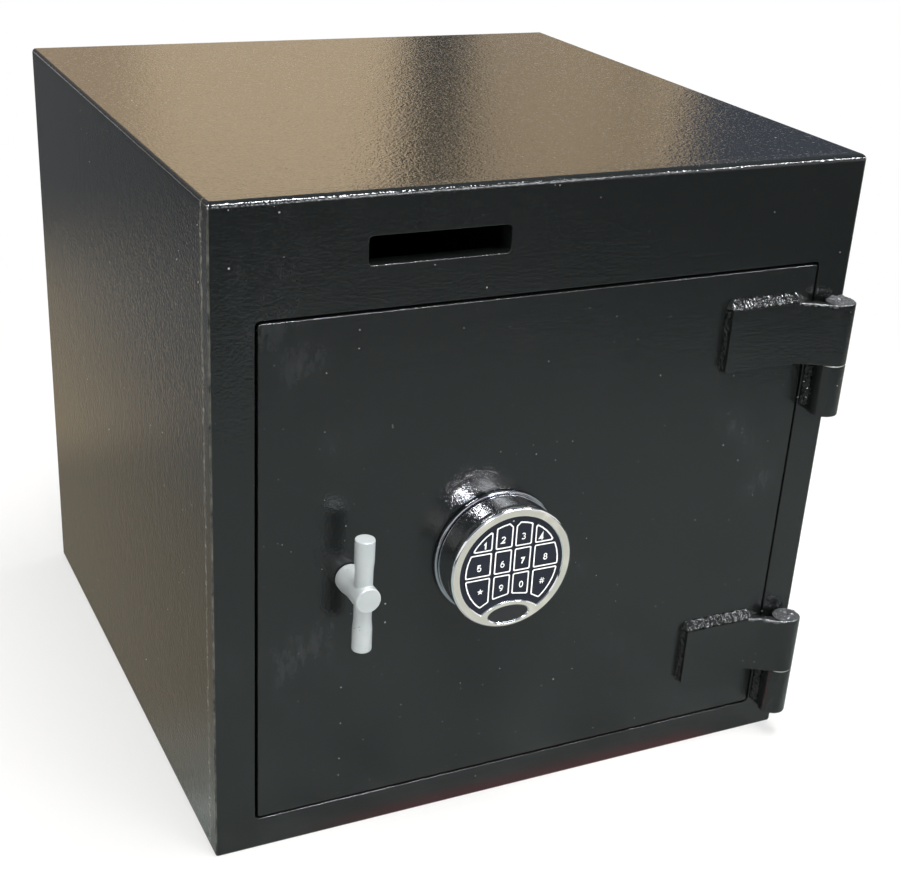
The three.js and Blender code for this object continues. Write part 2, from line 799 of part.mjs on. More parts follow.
function handleCasting() {
  const hub = turned([
    [0, runningGap],
    [hubBaseRadius, runningGap],
    [hubBaseRadius, hubBaseHeight],
    [hubRadius, hubNeckHeight],
    [hubRadius, hubHeight - hubEdge],
    [hubRadius - hubEdge, hubHeight],
    [0, hubHeight],
  ], "z");
  const swellMiddle = (spokeNeckEnd + spokeSwellEnd) / 2;
  const swell = new THREE.CubicBezierCurve(
    new THREE.Vector2(spokeNeckRadius, spokeNeckEnd),
    new THREE.Vector2(spokeNeckRadius, swellMiddle),
    new THREE.Vector2(spokeEndRadius, swellMiddle),
    new THREE.Vector2(spokeEndRadius, spokeSwellEnd),
  );
  const half = [
    [spokeNeckRadius, 0],
    ...swell.getPoints(cornerSteps).map((point) => point.toArray()),
    [spokeEndRadius, spokeReach - spokeEdge],
    [spokeEndRadius - spokeEdge, spokeReach],
    [0, spokeReach],
  ];
  const mirrored = half.slice(1).reverse().map(([radius, height]) => [radius, -height]);
  const spokes = turned([...mirrored, ...half], "y").translate(0, 0, spokeHeight);
  const bore = rod(spindleRadius + seatGap, -overrun, spindleInHub + seatGap, "z");
  return cut(join(hub, spokes), bore);
}

const crankEnd = crankY + crankThickness;
const nutStart = crankEnd + seatGap;

// The spindle's inner end has a flat for the crank and a thread for its nut.
function handleSpindle() {
  const threadStart = doorThickness + crankEnd;
  const end = threadStart + seatGap + spindleNutThickness + boltStubProud;
  const shaft = turned([
    [0, -spindleInHub],
    [spindleRadius, -spindleInHub],
    [spindleRadius, threadStart],
    [spindleThreadRadius, threadStart],
    [spindleThreadRadius, end],
    [0, end],
  ], "y");
  const flat = block(spindleRadius * 2, crankThickness + runningGap, overrun);
  const flatStart = doorThickness + crankY - seatGap;
  return cut(shaft, flat.translate(-spindleRadius, flatStart, spindleRadius - spindleFlat));
}

// The crank's arm narrows from the hub to the pin, which reaches back through the carriage.
function crank() {
  const lean = Math.asin((crankHubRadius - crankTipRadius) / crankRadius);
  const bore = spindleRadius + seatGap;
  const flatAngle = Math.acos((bore - spindleFlat) / bore);
  const arm = polygon([
    ...arc(0, 0, crankHubRadius, Math.PI - lean, 2 * Math.PI + lean, mediumSteps),
    ...arc(0, crankRadius, crankTipRadius, lean, Math.PI - lean, mediumSteps),
  ]);
  const flatted = arc(0, 0, bore, Math.PI / 2 + flatAngle, (5 * Math.PI) / 2 - flatAngle, mediumSteps);
  arm.holes.push(polygon(flatted));
  const pin = rod(crankPinRadius, -carriageThickness - runningGap, crankThickness / 2, "y");
  return join(carryBack(arm, crankThickness), pin.translate(0, 0, crankRadius));
}

// Flanged bush in the door that the spindle turns in
function spindleBush() {
  const bore = spindleRadius + seatGap;
  const flangeEnd = doorThickness + seatGap + bushFlangeThickness;
  return turned([
    [bore, seatGap],
    [bushRadius, seatGap],
    [bushRadius, doorThickness + seatGap],
    [bushFlangeRadius, doorThickness + seatGap],
    [bushFlangeRadius, flangeEnd],
    [bore, flangeEnd],
    [bore, seatGap],
  ], "y");
}

piece(handle, "handle", handleCasting(), silverPaint).rotation.x = Math.PI / 2;
piece(handle, "handle_spindle", handleSpindle(), bareSteel).rotation.y = handleTurn / 2;
piece(handle, "spindle_bush", spindleBush(), brass);
piece(handle, "crank", crank(), zincPlate, 0, doorThickness + crankY, 0).rotation.y = handleTurn / 2;
const spindleNut = hexNut(spindleNutFlats, spindleThreadRadius + seatGap, spindleNutThickness, "y");
piece(handle, "spindle_nut", spindleNut, zincPlate, 0, doorThickness + nutStart, 0);

// Lock, placed from its left end on the lock line at the door's inner face
const lock = group(works, lockX, 0, 0);
const lockY = hardPlateThickness + seatGap;
const cableX = padX - handleX - lockX;
const pivotX = lockPivotInset;
const pivotZ = lockPivotRise - lockWidth / 2;
const pocketBottom = lockPocketWall - lockWidth / 2;
const pocketTop = lockWidth / 2 - lockPocketWall - lockScrewInset;
const lockBoltY = lockY + lockPocketFloor + seatGap;
const screwSpan = lockWidth / 2 - lockScrewInset;
const screwPlaces = [
  [lockLength - lockScrewInset, screwSpan],
  [lockLength - lockScrewInset, -screwSpan],
  [lockPocketLength + lockScrewInset, screwSpan],
];

function screwHoles(from, to) {
  return screwPlaces.map(([x, z]) => rod(lockScrewRadius + seatGap, from, to, "y").translate(x, 0, z));
}

function hardPlate() {
  const height = lockWidth + 2 * hardPlateMargin;
  const outline = roundedRectangle(0, -height / 2, lockLength + hardPlateOverhang, height, lockCornerRadius);
  return cut(
    carryBack(outline, hardPlateThickness),
    rod(cableHoleRadius, -overrun, hardPlateThickness + overrun, "y").translate(cableX, 0, 0),
    ...screwHoles(-overrun, hardPlateThickness + overrun),
  );
}

// The case has a pocket for the swing bolt, open at the left end, with a post to turn on.
function lockCase() {
  const outline = roundedRectangle(0, -lockWidth / 2, lockLength, lockWidth, lockCornerRadius);
  const pocket = block(lockPocketLength + overrun, lockCaseDepth, pocketTop - pocketBottom);
  const hollowed = cut(
    carryBack(outline, lockCaseDepth),
    pocket.translate(-overrun, lockPocketFloor, pocketBottom),
    rod(cableRadius + runningGap, -overrun, cableSocketDepth, "y").translate(cableX, 0, 0),
    ...screwHoles(-overrun, lockCaseDepth + overrun),
  );
  const post = rod(lockPivotRadius, lockPocketFloor / 2, lockPocketFloor + seatGap + lockBoltThickness, "y");
  return join(hollowed, post.translate(pivotX, 0, pivotZ));
}

// The swing bolt's blade stands up from its heel and swings out of the pocket to the left.
function lockBolt() {
  const left = seatGap - pivotX;
  const right = left + lockBoltWidth;
  const tipZ = pocketTop - lockBoltTipRoom - lockBoltTipRadius - pivotZ;
  const outline = polygon([
    ...arc(0, 0, lockBoltHeelRadius, Math.PI, 2 * Math.PI),
    [right, lockBoltHeelRadius],
    ...arc(right - lockBoltTipRadius, tipZ, lockBoltTipRadius, 0, Math.PI / 2),
    ...arc(left + lockBoltTipRadius, tipZ, lockBoltTipRadius, Math.PI / 2, Math.PI),
    [left, 0],
  ]);
  outline.holes.push(circle(lockPivotRadius + seatGap));
  return carryBack(outline, lockBoltThickness);
}

function lockCover() {
  const outline = roundedRectangle(0, -lockWidth / 2, lockLength, lockWidth, lockCornerRadius);
  return cut(carryBack(outline, lockCoverThickness), ...screwHoles(-overrun, lockCoverThickness + overrun));
}

function lockScrew() {
  const headStart = lockY + lockCaseDepth + lockCoverThickness + 2 * seatGap;
  const headEnd = headStart + lockScrewHeadHeight;
  const screw = turned([
    [0, seatGap],
    [lockScrewRadius, seatGap],
    [lockScrewRadius, headStart],
    [lockScrewHeadRadius, headStart],
    [lockScrewHeadRadius, headEnd],
    [0, headEnd],
  ], "y", smallSteps);
  const slot = block(lockScrewHeadRadius * 3, lockScrewHeadHeight, lockScrewSlot);
  const slotY = headEnd - lockScrewHeadHeight / 2;
  return cut(screw, slot.translate(-lockScrewHeadRadius * 1.5, slotY, -lockScrewSlot / 2));
}

const coverY = lockY + lockCaseDepth + seatGap;
piece(lock, "hard_plate", hardPlate(), bareSteel, 0, weldGap, 0);
piece(lock, "lock_case", lockCase(), zincPlate, 0, lockY, 0);
piece(lock, "lock_bolt", lockBolt(), brass, pivotX, lockBoltY, pivotZ);
piece(lock, "lock_cover", lockCover(), zincPlate, 0, coverY, 0);
screwPlaces.forEach(([x, z], i) => piece(lock, "lock_screw_" + (i + 1), lockScrew(), zincPlate, x, 0, z));
const cableStart = -doorThickness - padBaseThickness - cableStub;
const cable = rod(cableRadius, cableStart, lockY + cableSocketDepth - seatGap, "y");
piece(lock, "keypad_cable", cable, cableJacket, cableX, 0, 0);

// Entry pad, drawn as seen from the front with z towards the user
const pad = group(door, padX, doorFrontY, lockHeight);
pad.rotation.x = Math.PI / 2;
const faceFront = housingHeight - faceRecess;
const faceBack = faceFront - faceThickness;
const bezelBack = housingHeight - bezelThickness;

function padBase() {
  const bottom = seatGap;
  const top = bottom + padBaseThickness;
  const innerSpigot = padSpigotRadius - padSpigotWall;
  return turned([
    [cableHoleRadius, bottom],
    [padBaseRadius - padBaseEdge, bottom],
    [padBaseRadius, bottom + padBaseEdge],
    [padBaseRadius, top - padBaseEdge],
    [padBaseRadius - padBaseEdge, top],
    [padSpigotRadius, top],
    [padSpigotRadius, padSpigotHeight],
    [innerSpigot, padSpigotHeight],
    [innerSpigot, top],
    [cableHoleRadius, top],
    [cableHoleRadius, bottom],
  ], "z", largeSteps);
}

// The opening in the bezel is a circle with a wave along its foot.
function faceOpening(grow) {
  const radius = faceRadius + grow;
  const wave = waveRadius - grow;
  const meetY = (wave ** 2 - radius ** 2 - waveDepth ** 2) / (2 * waveDepth);
  const meetX = Math.sqrt(radius ** 2 - meetY ** 2);
  const rimAngle = Math.atan2(meetY, meetX);
  const waveAngle = Math.atan2(meetY + waveDepth, meetX);
  return polygon([
    ...arc(0, 0, radius, rimAngle, Math.PI - rimAngle, largeSteps),
    ...arc(0, -waveDepth, wave, Math.PI - waveAngle, waveAngle, largeSteps),
  ]);
}

function raised(shape, from, to) {
  return carryUp(shape, to - from).translate(0, 0, from);
}

function padHousing() {
  const inner = housingRadius - housingWall;
  const rim = seatGap + padBaseThickness + padGroove;
  const lipMiddle = (housingLipHeight + housingHeight) / 2;
  const cup = turned([
    [0, bezelBack],
    [inner, bezelBack],
    [inner, rim],
    [housingRadius - padBaseEdge, rim],
    [housingRadius, rim + padBaseEdge],
    [housingRadius, housingLipHeight],
    [housingLipRadius, lipMiddle],
    [housingLipRadius, housingHeight - housingLipEdge],
    [(housingLipRadius + housingFaceRadius) / 2, housingHeight - housingLipEdge / 3],
    [housingFaceRadius, housingHeight],
    [0, housingHeight],
  ], "z", largeSteps);
  const badge = rod(badgeLength / 2, housingHeight - badgeRecess, housingHeight + overrun, "z", mediumSteps);
  return cut(
    cup,
    raised(faceOpening(0), bezelBack - overrun, housingHeight + overrun),
    badge.scale(1, badgeHeight / badgeLength, 1).translate(0, -badgeDrop, 0),
  );
}

// Part of a convex outline where a * x + b * y stays at or below a limit
function clipped(points, a, b, limit) {
  return points.flatMap(([x, y], i) => {
    const [nextX, nextY] = points[(i + 1) % points.length];
    const here = a * x + b * y - limit;
    const next = a * nextX + b * nextY - limit;
    const kept = here <= 0 ? [[x, y]] : [];
    if (here * next < 0) {
      const share = here / (here - next);
      kept.push([x + share * (nextX - x), y + share * (nextY - y)]);
    }
    return kept;
  });
}

// The outline with every real corner rounded, and the steps of an arc left as they are
function softened(points, radius) {
  const corners = points.map(([x, y]) => new THREE.Vector2(x, y));
  const smooth = corners.flatMap((corner, i) => {
    const back = corners.at(i - 1).clone().sub(corner);
    const ahead = corners[(i + 1) % corners.length].clone().sub(corner);
    const turn = Math.PI - back.angleTo(ahead);
    if (turn < Math.PI / 9) return [corner];
    const reach = Math.min(radius * Math.tan(turn / 2), back.length() / 2, ahead.length() / 2);
    const start = corner.clone().addScaledVector(back.normalize(), reach);
    const end = corner.clone().addScaledVector(ahead.normalize(), reach);
    return new THREE.QuadraticBezierCurve(start, corner, end).getPoints(2);
  });
  return new THREE.Shape(smooth);
}

// A key is the part of the key circle inside its column and row. The lowest row is also
// kept off the wave, and the two upper middle keys have their inner top corner cut away.
function keyOutline(column, row, grow) {
  const side = column < 2 ? -1 : 1;
  const middle = column === 1 || column === 2;
  const near = middle ? keyMiddleEdge : keyMiddleEdge + keyMiddleWidth + keyColumnGap;
  const rowTop = keyMiddleRowHeight - keyMiddleRowDrop;
  const radius = keyCircleRadius + grow;
  let points = Array.from({ length: largeSteps }, (_, i) => {
    const angle = (i * 2 * Math.PI) / largeSteps;
    return [radius * Math.cos(angle), radius * Math.sin(angle)];
  });
  points = clipped(points, -1, 0, grow - near);
  if (middle) points = clipped(points, 1, 0, near + keyMiddleWidth + grow);
  if (row === 0) points = clipped(points, 0, -1, grow - rowTop - keyRowGap);
  if (row === 1) points = clipped(points, 0, 1, rowTop + grow);
  if (row === 1) points = clipped(points, 0, -1, keyMiddleRowDrop + grow);
  if (row === 2) points = clipped(points, 0, 1, grow - keyMiddleRowDrop - keyRowGap);
  if (row === 2) {
    const outer = middle ? near + keyMiddleWidth : keyCircleRadius * Math.SQRT1_2;
    const angle = Math.asin((near + outer) / 2 / (waveRadius + keyWaveMargin));
    const limit = grow - waveRadius - keyWaveMargin + waveDepth * Math.cos(angle);
    points = clipped(points, -Math.sin(angle), -Math.cos(angle), limit);
  }
  if (row === 0 && middle) {
    const top = Math.sqrt(keyCircleRadius ** 2 - near ** 2);
    points = clipped(points, -Math.SQRT1_2, Math.SQRT1_2, (top - near - keyChamfer) * Math.SQRT1_2 + grow);
  }
  const placed = side < 0 ? points.map(([x, y]) => [-x, y]).reverse() : points;
  return softened(placed, keyCornerRadius + grow);
}

const keyNames = [
  ["key_1", "key_2", "key_3", "key_4"],
  ["key_5", "key_6", "key_7", "key_8"],
  ["key_star", "key_9", "key_0", "key_hash"],
];

function eachKey(visit) {
  keyNames.forEach((names, row) => names.forEach((name, column) => visit(name, column, row)));
}

// Rubber face: a plate in the opening, a flange behind the bezel, and a hole for each key
function padFace() {
  const holes = [];
  eachKey((_, column, row) => {
    holes.push(raised(keyOutline(column, row, seatGap), faceBack - overrun, faceFront + overrun));
  });
  const flangeTop = bezelBack - seatGap;
  const flange = rod(faceFlangeRadius, flangeTop - faceFlangeThickness, flangeTop, "z", largeSteps);
  return cut(join(flange, raised(faceOpening(-seatGap), faceBack, faceFront)), ...holes);
}

function battery() {
  const left = -batteryLength / 2;
  const bottom = batteryFromCentre - batteryWidth / 2;
  const outline = roundedRectangle(left, bottom, batteryLength, batteryWidth, batteryRadius);
  const terminals = [-1, 1].map((side) =>
    rod(terminalRadius, left - terminalHeight, left + overrun, "x")
      .translate(0, batteryFromCentre + (side * batteryWidth) / 4, batteryThickness / 2));
  return join(raised(outline, 0, batteryThickness), ...terminals);
}

const keyTop = faceFront + keyProud;
piece(pad, "keypad_base", padBase(), darkChrome);
piece(pad, "keypad_housing", padHousing(), nickel);
piece(pad, "keypad_face", padFace(), rubber);
piece(pad, "battery", battery(), batteryWrap, 0, 0, 2 * seatGap + padBaseThickness);
eachKey((name, column, row) => {
  piece(pad, name, raised(keyOutline(column, row, 0), keyTop - keyHeight, keyTop), rubber);
});

export default safe;
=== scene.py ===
"""Drop safe: the looks of a welded steel safe with a deposit slot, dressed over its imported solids.

Everything is in metres in the part's own frame: x to the right, y to the back, z up.
"""

import math

import bmesh
import bpy
from mathutils import Matrix, Vector, noise


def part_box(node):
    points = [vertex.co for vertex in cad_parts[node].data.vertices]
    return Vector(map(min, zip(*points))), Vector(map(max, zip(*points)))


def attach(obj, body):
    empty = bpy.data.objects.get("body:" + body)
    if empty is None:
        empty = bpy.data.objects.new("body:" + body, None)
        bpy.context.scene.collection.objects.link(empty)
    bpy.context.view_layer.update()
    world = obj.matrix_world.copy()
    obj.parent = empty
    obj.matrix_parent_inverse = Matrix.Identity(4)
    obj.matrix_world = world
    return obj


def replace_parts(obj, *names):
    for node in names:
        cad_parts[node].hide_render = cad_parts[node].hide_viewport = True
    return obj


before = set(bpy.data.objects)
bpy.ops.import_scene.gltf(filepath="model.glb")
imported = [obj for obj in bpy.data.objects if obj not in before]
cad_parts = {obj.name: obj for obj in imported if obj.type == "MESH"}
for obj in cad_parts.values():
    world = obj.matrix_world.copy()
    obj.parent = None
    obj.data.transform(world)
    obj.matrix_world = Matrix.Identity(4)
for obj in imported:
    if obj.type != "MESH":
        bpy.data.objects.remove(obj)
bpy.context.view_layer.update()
MM = 0.001

# Camera: its place, the directions of its picture's right and up, and its lens
CAMERA_PLACE = Vector((-0.4750, -1.0250, 0.6907))
CAMERA_RIGHT = Vector((0.907242, -0.417801, 0.048512))
CAMERA_UP = Vector((0.144078, 0.417058, 0.897388))
CAMERA_LENS = 61.64
CAMERA_SHIFT = (0.0252, 0.05)

# Floor and surround
FLOOR_RADIUS = 9.0
FLOOR_THICKNESS = 0.01
FLOOR_DROP = 0.2 * MM
FLOOR_COLOUR = (0.83, 0.825, 0.81)
FLOOR_FADE = (0.35, 1.1)
FLOOR_WHITE_NEAR = 0.6
SURROUND_ON_MATT = 0.5

# Lamps: place, the point that they face, size, power in watts, and colour
KEY_LAMP = ((0.1, -0.35, 1.95), (0, -0.25, 0.3), (1.8, 0.9), 64, (1.0, 0.98, 0.95))
FILL_LAMP = ((0.8, -1.8, 1.35), (0, 0, 0.2), (0.7, 0.5), 12, (0.95, 0.97, 1.0))

# Square lamps that only reflections show: place, side, and power in watts
GLINT_LAMPS = {
    "glint_front": ((-0.42, -3.0, 2.5), 0.32, 140.0),
    "glint_above": ((0.75, -1.5, 2.9), 0.36, 80.0),
    "glint_right": ((2.1, -1.8, 2.1), 0.3, 40.0),
}
GLINT_TARGET = (0, 0, 0.2)
GLINT_COLOUR = (0.93, 0.96, 1.0)

# The room is seen only in reflections. Its ceiling: two corners, height, and tones of the patches
CEILING = ((-5.0, -7.0), (5.0, 4.0), 3.0)
CEILING_TONES = ((0.1, 0.11, 0.15), (0.26, 0.27, 0.3))

# Its walls, which dim towards the foot between the heights of dusk
WALL_DISTANCE = 8.5
WALL_HEIGHTS = (0.8, 5.0)
WALL_DUSK = (1.87, 2.65)
WALL_STRENGTHS = (0.55, 1.15)
# Each wall's two azimuths in degrees, 0 being straight behind the safe, and its colour
WALLS = {
    "wall_back_left": ((-70, 4), (0.25, 0.235, 0.23)),
    "wall_far_left": ((4, 13.5), (1.0, 0.74, 0.48)),
    "wall_left": ((13.5, 24.4), (1.4, 1.07, 0.69)),
    "wall_gap": ((24.4, 27.0), (0.12, 0.1, 0.08)),
    "wall_middle": ((27.0, 30.0), (0.86, 0.65, 0.42)),
    "wall_right": ((30.0, 33.6), (0.9, 0.68, 0.43)),
    "wall_dip": ((33.6, 34.7), (0.62, 0.47, 0.3)),
    "wall_edge": ((34.7, 36.1), (1.15, 0.87, 0.55)),
    "wall_shade": ((36.1, 80), (0.11, 0.125, 0.17)),
}

# Its floor's tones, and where each ends along x, y or the distance
TONE_RADIUS = 7.0
FRONT_TONE = (0.49, 0.55, 0.54)
FRONT_TONE_END = (-0.3, 0.0)
LEFT_TONE = (0.225, 0.245, 0.27)
LEFT_TONE_END = (-0.44, -0.365)
SIDE_TONE = (0.33, 0.29, 0.22)
SIDE_TONE_END = (0.38, 0.52)
BACK_TONE = (0.5, 0.42, 0.3)
FAR_FRONT_TONE = (0.045, 0.053, 0.056)
FAR_FRONT_TONE_END = (0.0, 0.4)
FAR_BACK_TONE = (0.14, 0.145, 0.15)
NEAR_TONES_END = (0.95, 1.5)
# The red strip on that floor: ends along x, and edges from the face of the front plate
RED_TONE = (1.05, 0.49, 0.53)
RED_ENDS = ((-0.2, -0.07), (0.19, 0.15))
RED_EDGES = ((-17 * MM, -2 * MM), (8 * MM, 0))

# Black paint: lumps to the metre, and their depth in millimetres at texture 1
SWELL = (130.0, 0.12)
PEEL = (520.0, 0.2)
GRAIN = (850.0, 0.08)
PAINT_COLOURS = ((0.0065, 0.008, 0.008), (0.0112, 0.0128, 0.0124))
PAINT_ROUGHNESS = (0.06, 0.09)
DUST_COLOUR = (0.16, 0.165, 0.175)
SPECK_SHADE = 0.3
# Specks of paint: the pitch of their cells, and their radius
LARGE_SPECKS = (15 * MM, 0.7 * MM)
SMALL_SPECKS = (6 * MM, 0.4 * MM)
PITS = (3.5 * MM, 0.4 * MM)

# Seam behind the front plate: distances at which its marks start and are full. Its colour paints both a
# light line along the weld and a painted highlight along the plate's upright front edges
SEAM_LINE_AND_HIGHLIGHT_COLOUR = (0.2, 0.2, 0.17)
SEAM_RISE = 0.2 * MM
SEAM_INSET = 1 * MM
SEAM_WANDER = 9 * MM
SEAM_EDGE = (2.0 * MM, 1.0 * MM)
# Painted highlight along the front plate's upright front edges: where it starts and is full
PAINTED_EDGE_HIGHLIGHT = (1.4 * MM, 0.6 * MM)
CHIPPED_EDGE = (3.5 * MM, 1.5 * MM)
CHIP_SHADE = 0.002

# Solids: how near points count as one or as level, and which bends are flat, smooth or sharp
WELD_DISTANCE = 0.005 * MM
SAME_POINT = 0.001 * MM
SAME_PLANE = 0.01 * MM
FLAT_BEND = math.radians(0.5)
SMOOTH_BEND = math.radians(32)
SHARP_BEND = math.radians(40)
# Roundings of edges: the usual one, that of small pieces, and those of some nodes
USUAL_EDGE = 0.45 * MM
SMALL_EDGE = 0.15 * MM
EDGES = {
    "door_plate": 1.1 * MM, "top_plate": 0.15 * MM, "left_side": 0.2 * MM, "right_side": 0.2 * MM,
    "upper_hinge_leaf": 1.4 * MM, "lower_hinge_leaf": 1.4 * MM,
}

# Hinges: sizes that the leaf's box doesn't give
BEND_FROM_AXIS = 27.5 * MM
BARREL_RADIUS = 10.5 * MM
LEAF_THICKNESS = 6.35 * MM
KNUCKLE_HALF_FOOT = 8.5 * MM

# Keypad: distances from its centre, and heights above the door
PAD_BACK = 24.0 * MM
PAD_FRONT = 27.2 * MM
PAD_FOOT = 4.6 * MM
PAD_INSIDE = 41.2 * MM
PAD_LIP = 44.1 * MM
LIP_ROLL = 1.9 * MM
BEZEL_SLOPE = 0.75 * MM
BADGE_CENTRE = -34.6 * MM
BADGE_FOOT = (14.9 * MM, 6.1 * MM)
BADGE_MOUTH = (15.9 * MM, 7.1 * MM)
BADGE_DEPTH = 0.9 * MM
STATUS_LAMP_PLACE = (-1.3 * MM, 35.0 * MM)

# Print on the keys
PRINT_LINE = 0.95 * MM
PRINT_MARGIN = 0.08 * MM
PRINT_CORNER = 1.3 * MM
PRINT_HEIGHT = 0.07 * MM
PRINT_SINK = 0.01 * MM
DIGIT_HEIGHT = 5.0 * MM
DIGIT_STROKE = 1.12 * MM
HASH_HEIGHT = 4.9 * MM
HASH_STROKE = 0.55 * MM
STAR_RADIUS = 2.4 * MM
# Where each key's character stands from the pad's centre, in millimetres
KEY_PRINTS = {
    "1": (-20.9, 20.0), "2": (-7.9, 22.6), "3": (6.9, 22.9), "4": (20.4, 20.0),
    "5": (-24.3, 4.4), "6": (-7.3, 4.4), "7": (7.4, 4.6), "8": (24.6, 4.6),
    "star": (-22.4, -13.6), "9": (-7.0, -13.4), "0": (7.9, -13.3), "hash": (23.6, -13.5),
}

# Handle: profiles of its hub and of half its spokes, radius and height in millimetres
HUB = [(0, 0.6), (9.2, 0.6), (9.7, 1.1), (9.7, 6.6), (9.55, 7.6), (8.75, 13.2), (8.6, 14.4),
       (8.6, 33.3), (8.35, 33.8), (7.9, 34.0), (0, 34.0)]
HALF_SPOKE = [(5.9, 0), (5.9, 17.0), (5.96, 18.8), (6.15, 20.8), (6.38, 23.0), (6.5, 25.2), (6.5, 39.4),
              (6.3, 39.8), (5.9, 40.0), (0, 40.0)]
SPOKE_HEIGHT = 25 * MM


# Node trees

class Nodes:
    """A node tree, with short calls for what the finishes and the stage are made of."""

    def __init__(self, tree):
        self.tree = tree

    def put(self, socket, value):
        """Links a socket to another, or sets it; a colour is a triple and becomes opaque."""
        if isinstance(value, bpy.types.NodeSocket):
            self.tree.links.new(value, socket)
        elif socket.type == "RGBA":
            socket.default_value = (*value, 1.0)
        else:
            socket.default_value = value

    def node(self, kind, inputs=None, **settings):
        made = self.tree.nodes.new(kind)
        for name, value in settings.items():
            setattr(made, name, value)
        for name, value in (inputs or {}).items():
            self.put(made.inputs[name], value)
        return made

    def position(self):
        return self.node("ShaderNodeTexCoord").outputs["Object"]

    def math(self, operation, a, b=0.0, clamp=False):
        made = self.node("ShaderNodeMath", {0: a, 1: b}, operation=operation, use_clamp=clamp)
        return made.outputs[0]

    def times(self, a, b):
        return self.math("MULTIPLY", a, b)

    def less(self, a, b):
        return self.math("SUBTRACT", a, b)

    def larger(self, a, b):
        return self.math("MAXIMUM", a, b)

    def raised(self, value, factor, amount):
        """The value, and that amount more where the factor is 1."""
        return self.math("ADD", value, self.times(factor, amount))

    def axes(self, vector):
        return self.node("ShaderNodeSeparateXYZ", {0: vector}).outputs

    def step(self, value, low, high):
        """0 at low, 1 at high, smooth between them; low may be the larger."""
        if low > high:
            return self.less(1.0, self.step(value, high, low))
        inputs = {"Value": value, "From Min": low, "From Max": high}
        made = self.node("ShaderNodeMapRange", inputs, interpolation_type="SMOOTHSTEP")
        return made.outputs["Result"]

    def scaled(self, vector, factors):
        made = self.node("ShaderNodeVectorMath", {0: vector, 1: factors}, operation="MULTIPLY")
        return made.outputs[0]

    def length(self, vector):
        return self.node("ShaderNodeVectorMath", {0: vector}, operation="LENGTH").outputs["Value"]

    def noise(self, vector, scale, detail=2.0, roughness=0.5, distortion=0.0):
        inputs = {"Vector": vector, "Scale": scale, "Detail": detail, "Roughness": roughness}
        inputs["Distortion"] = distortion
        return self.node("ShaderNodeTexNoise", inputs).outputs["Fac"]

    def specks(self, vector, pitch, radius, share):
        """1 inside specks on plates of any direction, one to a cell, in that share of the cells."""
        x, y, z = self.axes(vector)
        lean = self.times(y, 0.7)
        axes = {0: self.math("ADD", x, lean), 1: self.math("ADD", z, lean)}
        flat = self.node("ShaderNodeCombineXYZ", axes).outputs[0]
        inputs = {"Vector": flat, "Scale": 1 / pitch}
        cells = self.node("ShaderNodeTexVoronoi", inputs, voronoi_dimensions="2D").outputs
        chance, size, _ = self.axes(cells["Color"])
        away = self.times(cells["Distance"], self.between(size, 0.8, 2.4))
        near = self.step(away, radius / pitch, radius / pitch / 2)
        return self.times(near, self.math("LESS_THAN", chance, share))

    def mix(self, factor, a, b):
        made = self.tree.nodes.new("ShaderNodeMix")
        made.data_type = "RGBA"
        for socket, value in ((0, factor), (6, a), (7, b)):
            self.put(made.inputs[socket], value)
        return made.outputs[2]

    def between(self, factor, low, high):
        """Low where the factor is 0, and high where it is 1."""
        inputs = {"Value": factor, "To Min": low, "To Max": high}
        return self.node("ShaderNodeMapRange", inputs).outputs["Result"]

    def bump(self, height, depth, normal=None):
        inputs = {"Height": height, "Distance": depth, "Strength": 1.0}
        if normal is not None:
            inputs["Normal"] = normal
        return self.node("ShaderNodeBump", inputs).outputs["Normal"]

    def glow(self, colour, strength=1.0):
        inputs = {"Color": colour, "Strength": strength}
        return self.node("ShaderNodeEmission", inputs).outputs[0]


def grey(value):
    return (value, value, value)


class Finish(Nodes):
    """A material with one Principled shader."""

    def __init__(self, name, **surface):
        self.material = bpy.data.materials.new(name)
        self.material.use_nodes = True
        super().__init__(self.material.node_tree)
        self.surface = self.tree.nodes["Principled BSDF"]
        self.set(**surface)

    def set(self, **surface):
        for name, value in surface.items():
            self.put(self.surface.inputs[name.replace("_", " ")], value)
        return self


# Finishes

def black_paint(name, dust=0.0, specks=0.0, texture=1.0, fineness=1.0, seam=None, shine=0.5):
    """Semi-gloss black over a sprayed orange peel.

    Dust is the strength of its grey patches, and specks is the share of cells that hold one.
    Texture is how steep the orange peel is, and fineness how small its lumps are. Seam is the
    box of the front plate, behind which the sides have a dressed weld line, and along whose
    upright front edges they get a painted highlight.
    """
    paint = Finish(name, Specular_IOR_Level=shine)
    place = paint.position()
    cloud = paint.noise(place, 5.0, 4.0, 0.6)
    base = paint.mix(cloud, *PAINT_COLOURS)
    roughness = paint.between(cloud, *PAINT_ROUGHNESS)
    if dust:
        film = dust_film(paint, place, dust)
        base = paint.mix(film, base, DUST_COLOUR)
        roughness = paint.raised(roughness, film, 0.8)
    if specks:
        large = paint.specks(place, *LARGE_SPECKS, specks)
        small = paint.specks(place, *SMALL_SPECKS, specks * 0.5)
        spots = paint.larger(large, small)
        base = paint.mix(spots, base, grey(SPECK_SHADE))
        roughness = paint.raised(roughness, spots, 0.4)
    normal = orange_peel(paint, place, texture, fineness)
    if seam is not None:
        # The light weld line and the painted highlight along the front edge share one lighter colour and a
        # slight rise
        weld_line_and_highlight, chips = seam_marks_and_edge_highlight(paint, *seam)
        base = paint.mix(chips, paint.mix(weld_line_and_highlight, base, SEAM_LINE_AND_HIGHLIGHT_COLOUR), grey(CHIP_SHADE))
        roughness = paint.raised(roughness, weld_line_and_highlight, 0.3)
        normal = paint.bump(weld_line_and_highlight, SEAM_RISE, normal)
    return paint.set(Base_Color=base, Roughness=roughness, Normal=normal).material


def dust_film(paint, place, strength):
    """Patches of wiped dust, streaked upright."""
    patch = paint.step(paint.noise(place, 9.0, 2.0), 0.58, 0.78)
    streak = paint.noise(paint.scaled(place, (1.0, 1.0, 0.35)), 160.0, 4.0, 0.7)
    return paint.times(paint.times(patch, paint.step(streak, 0.35, 0.75)), strength)


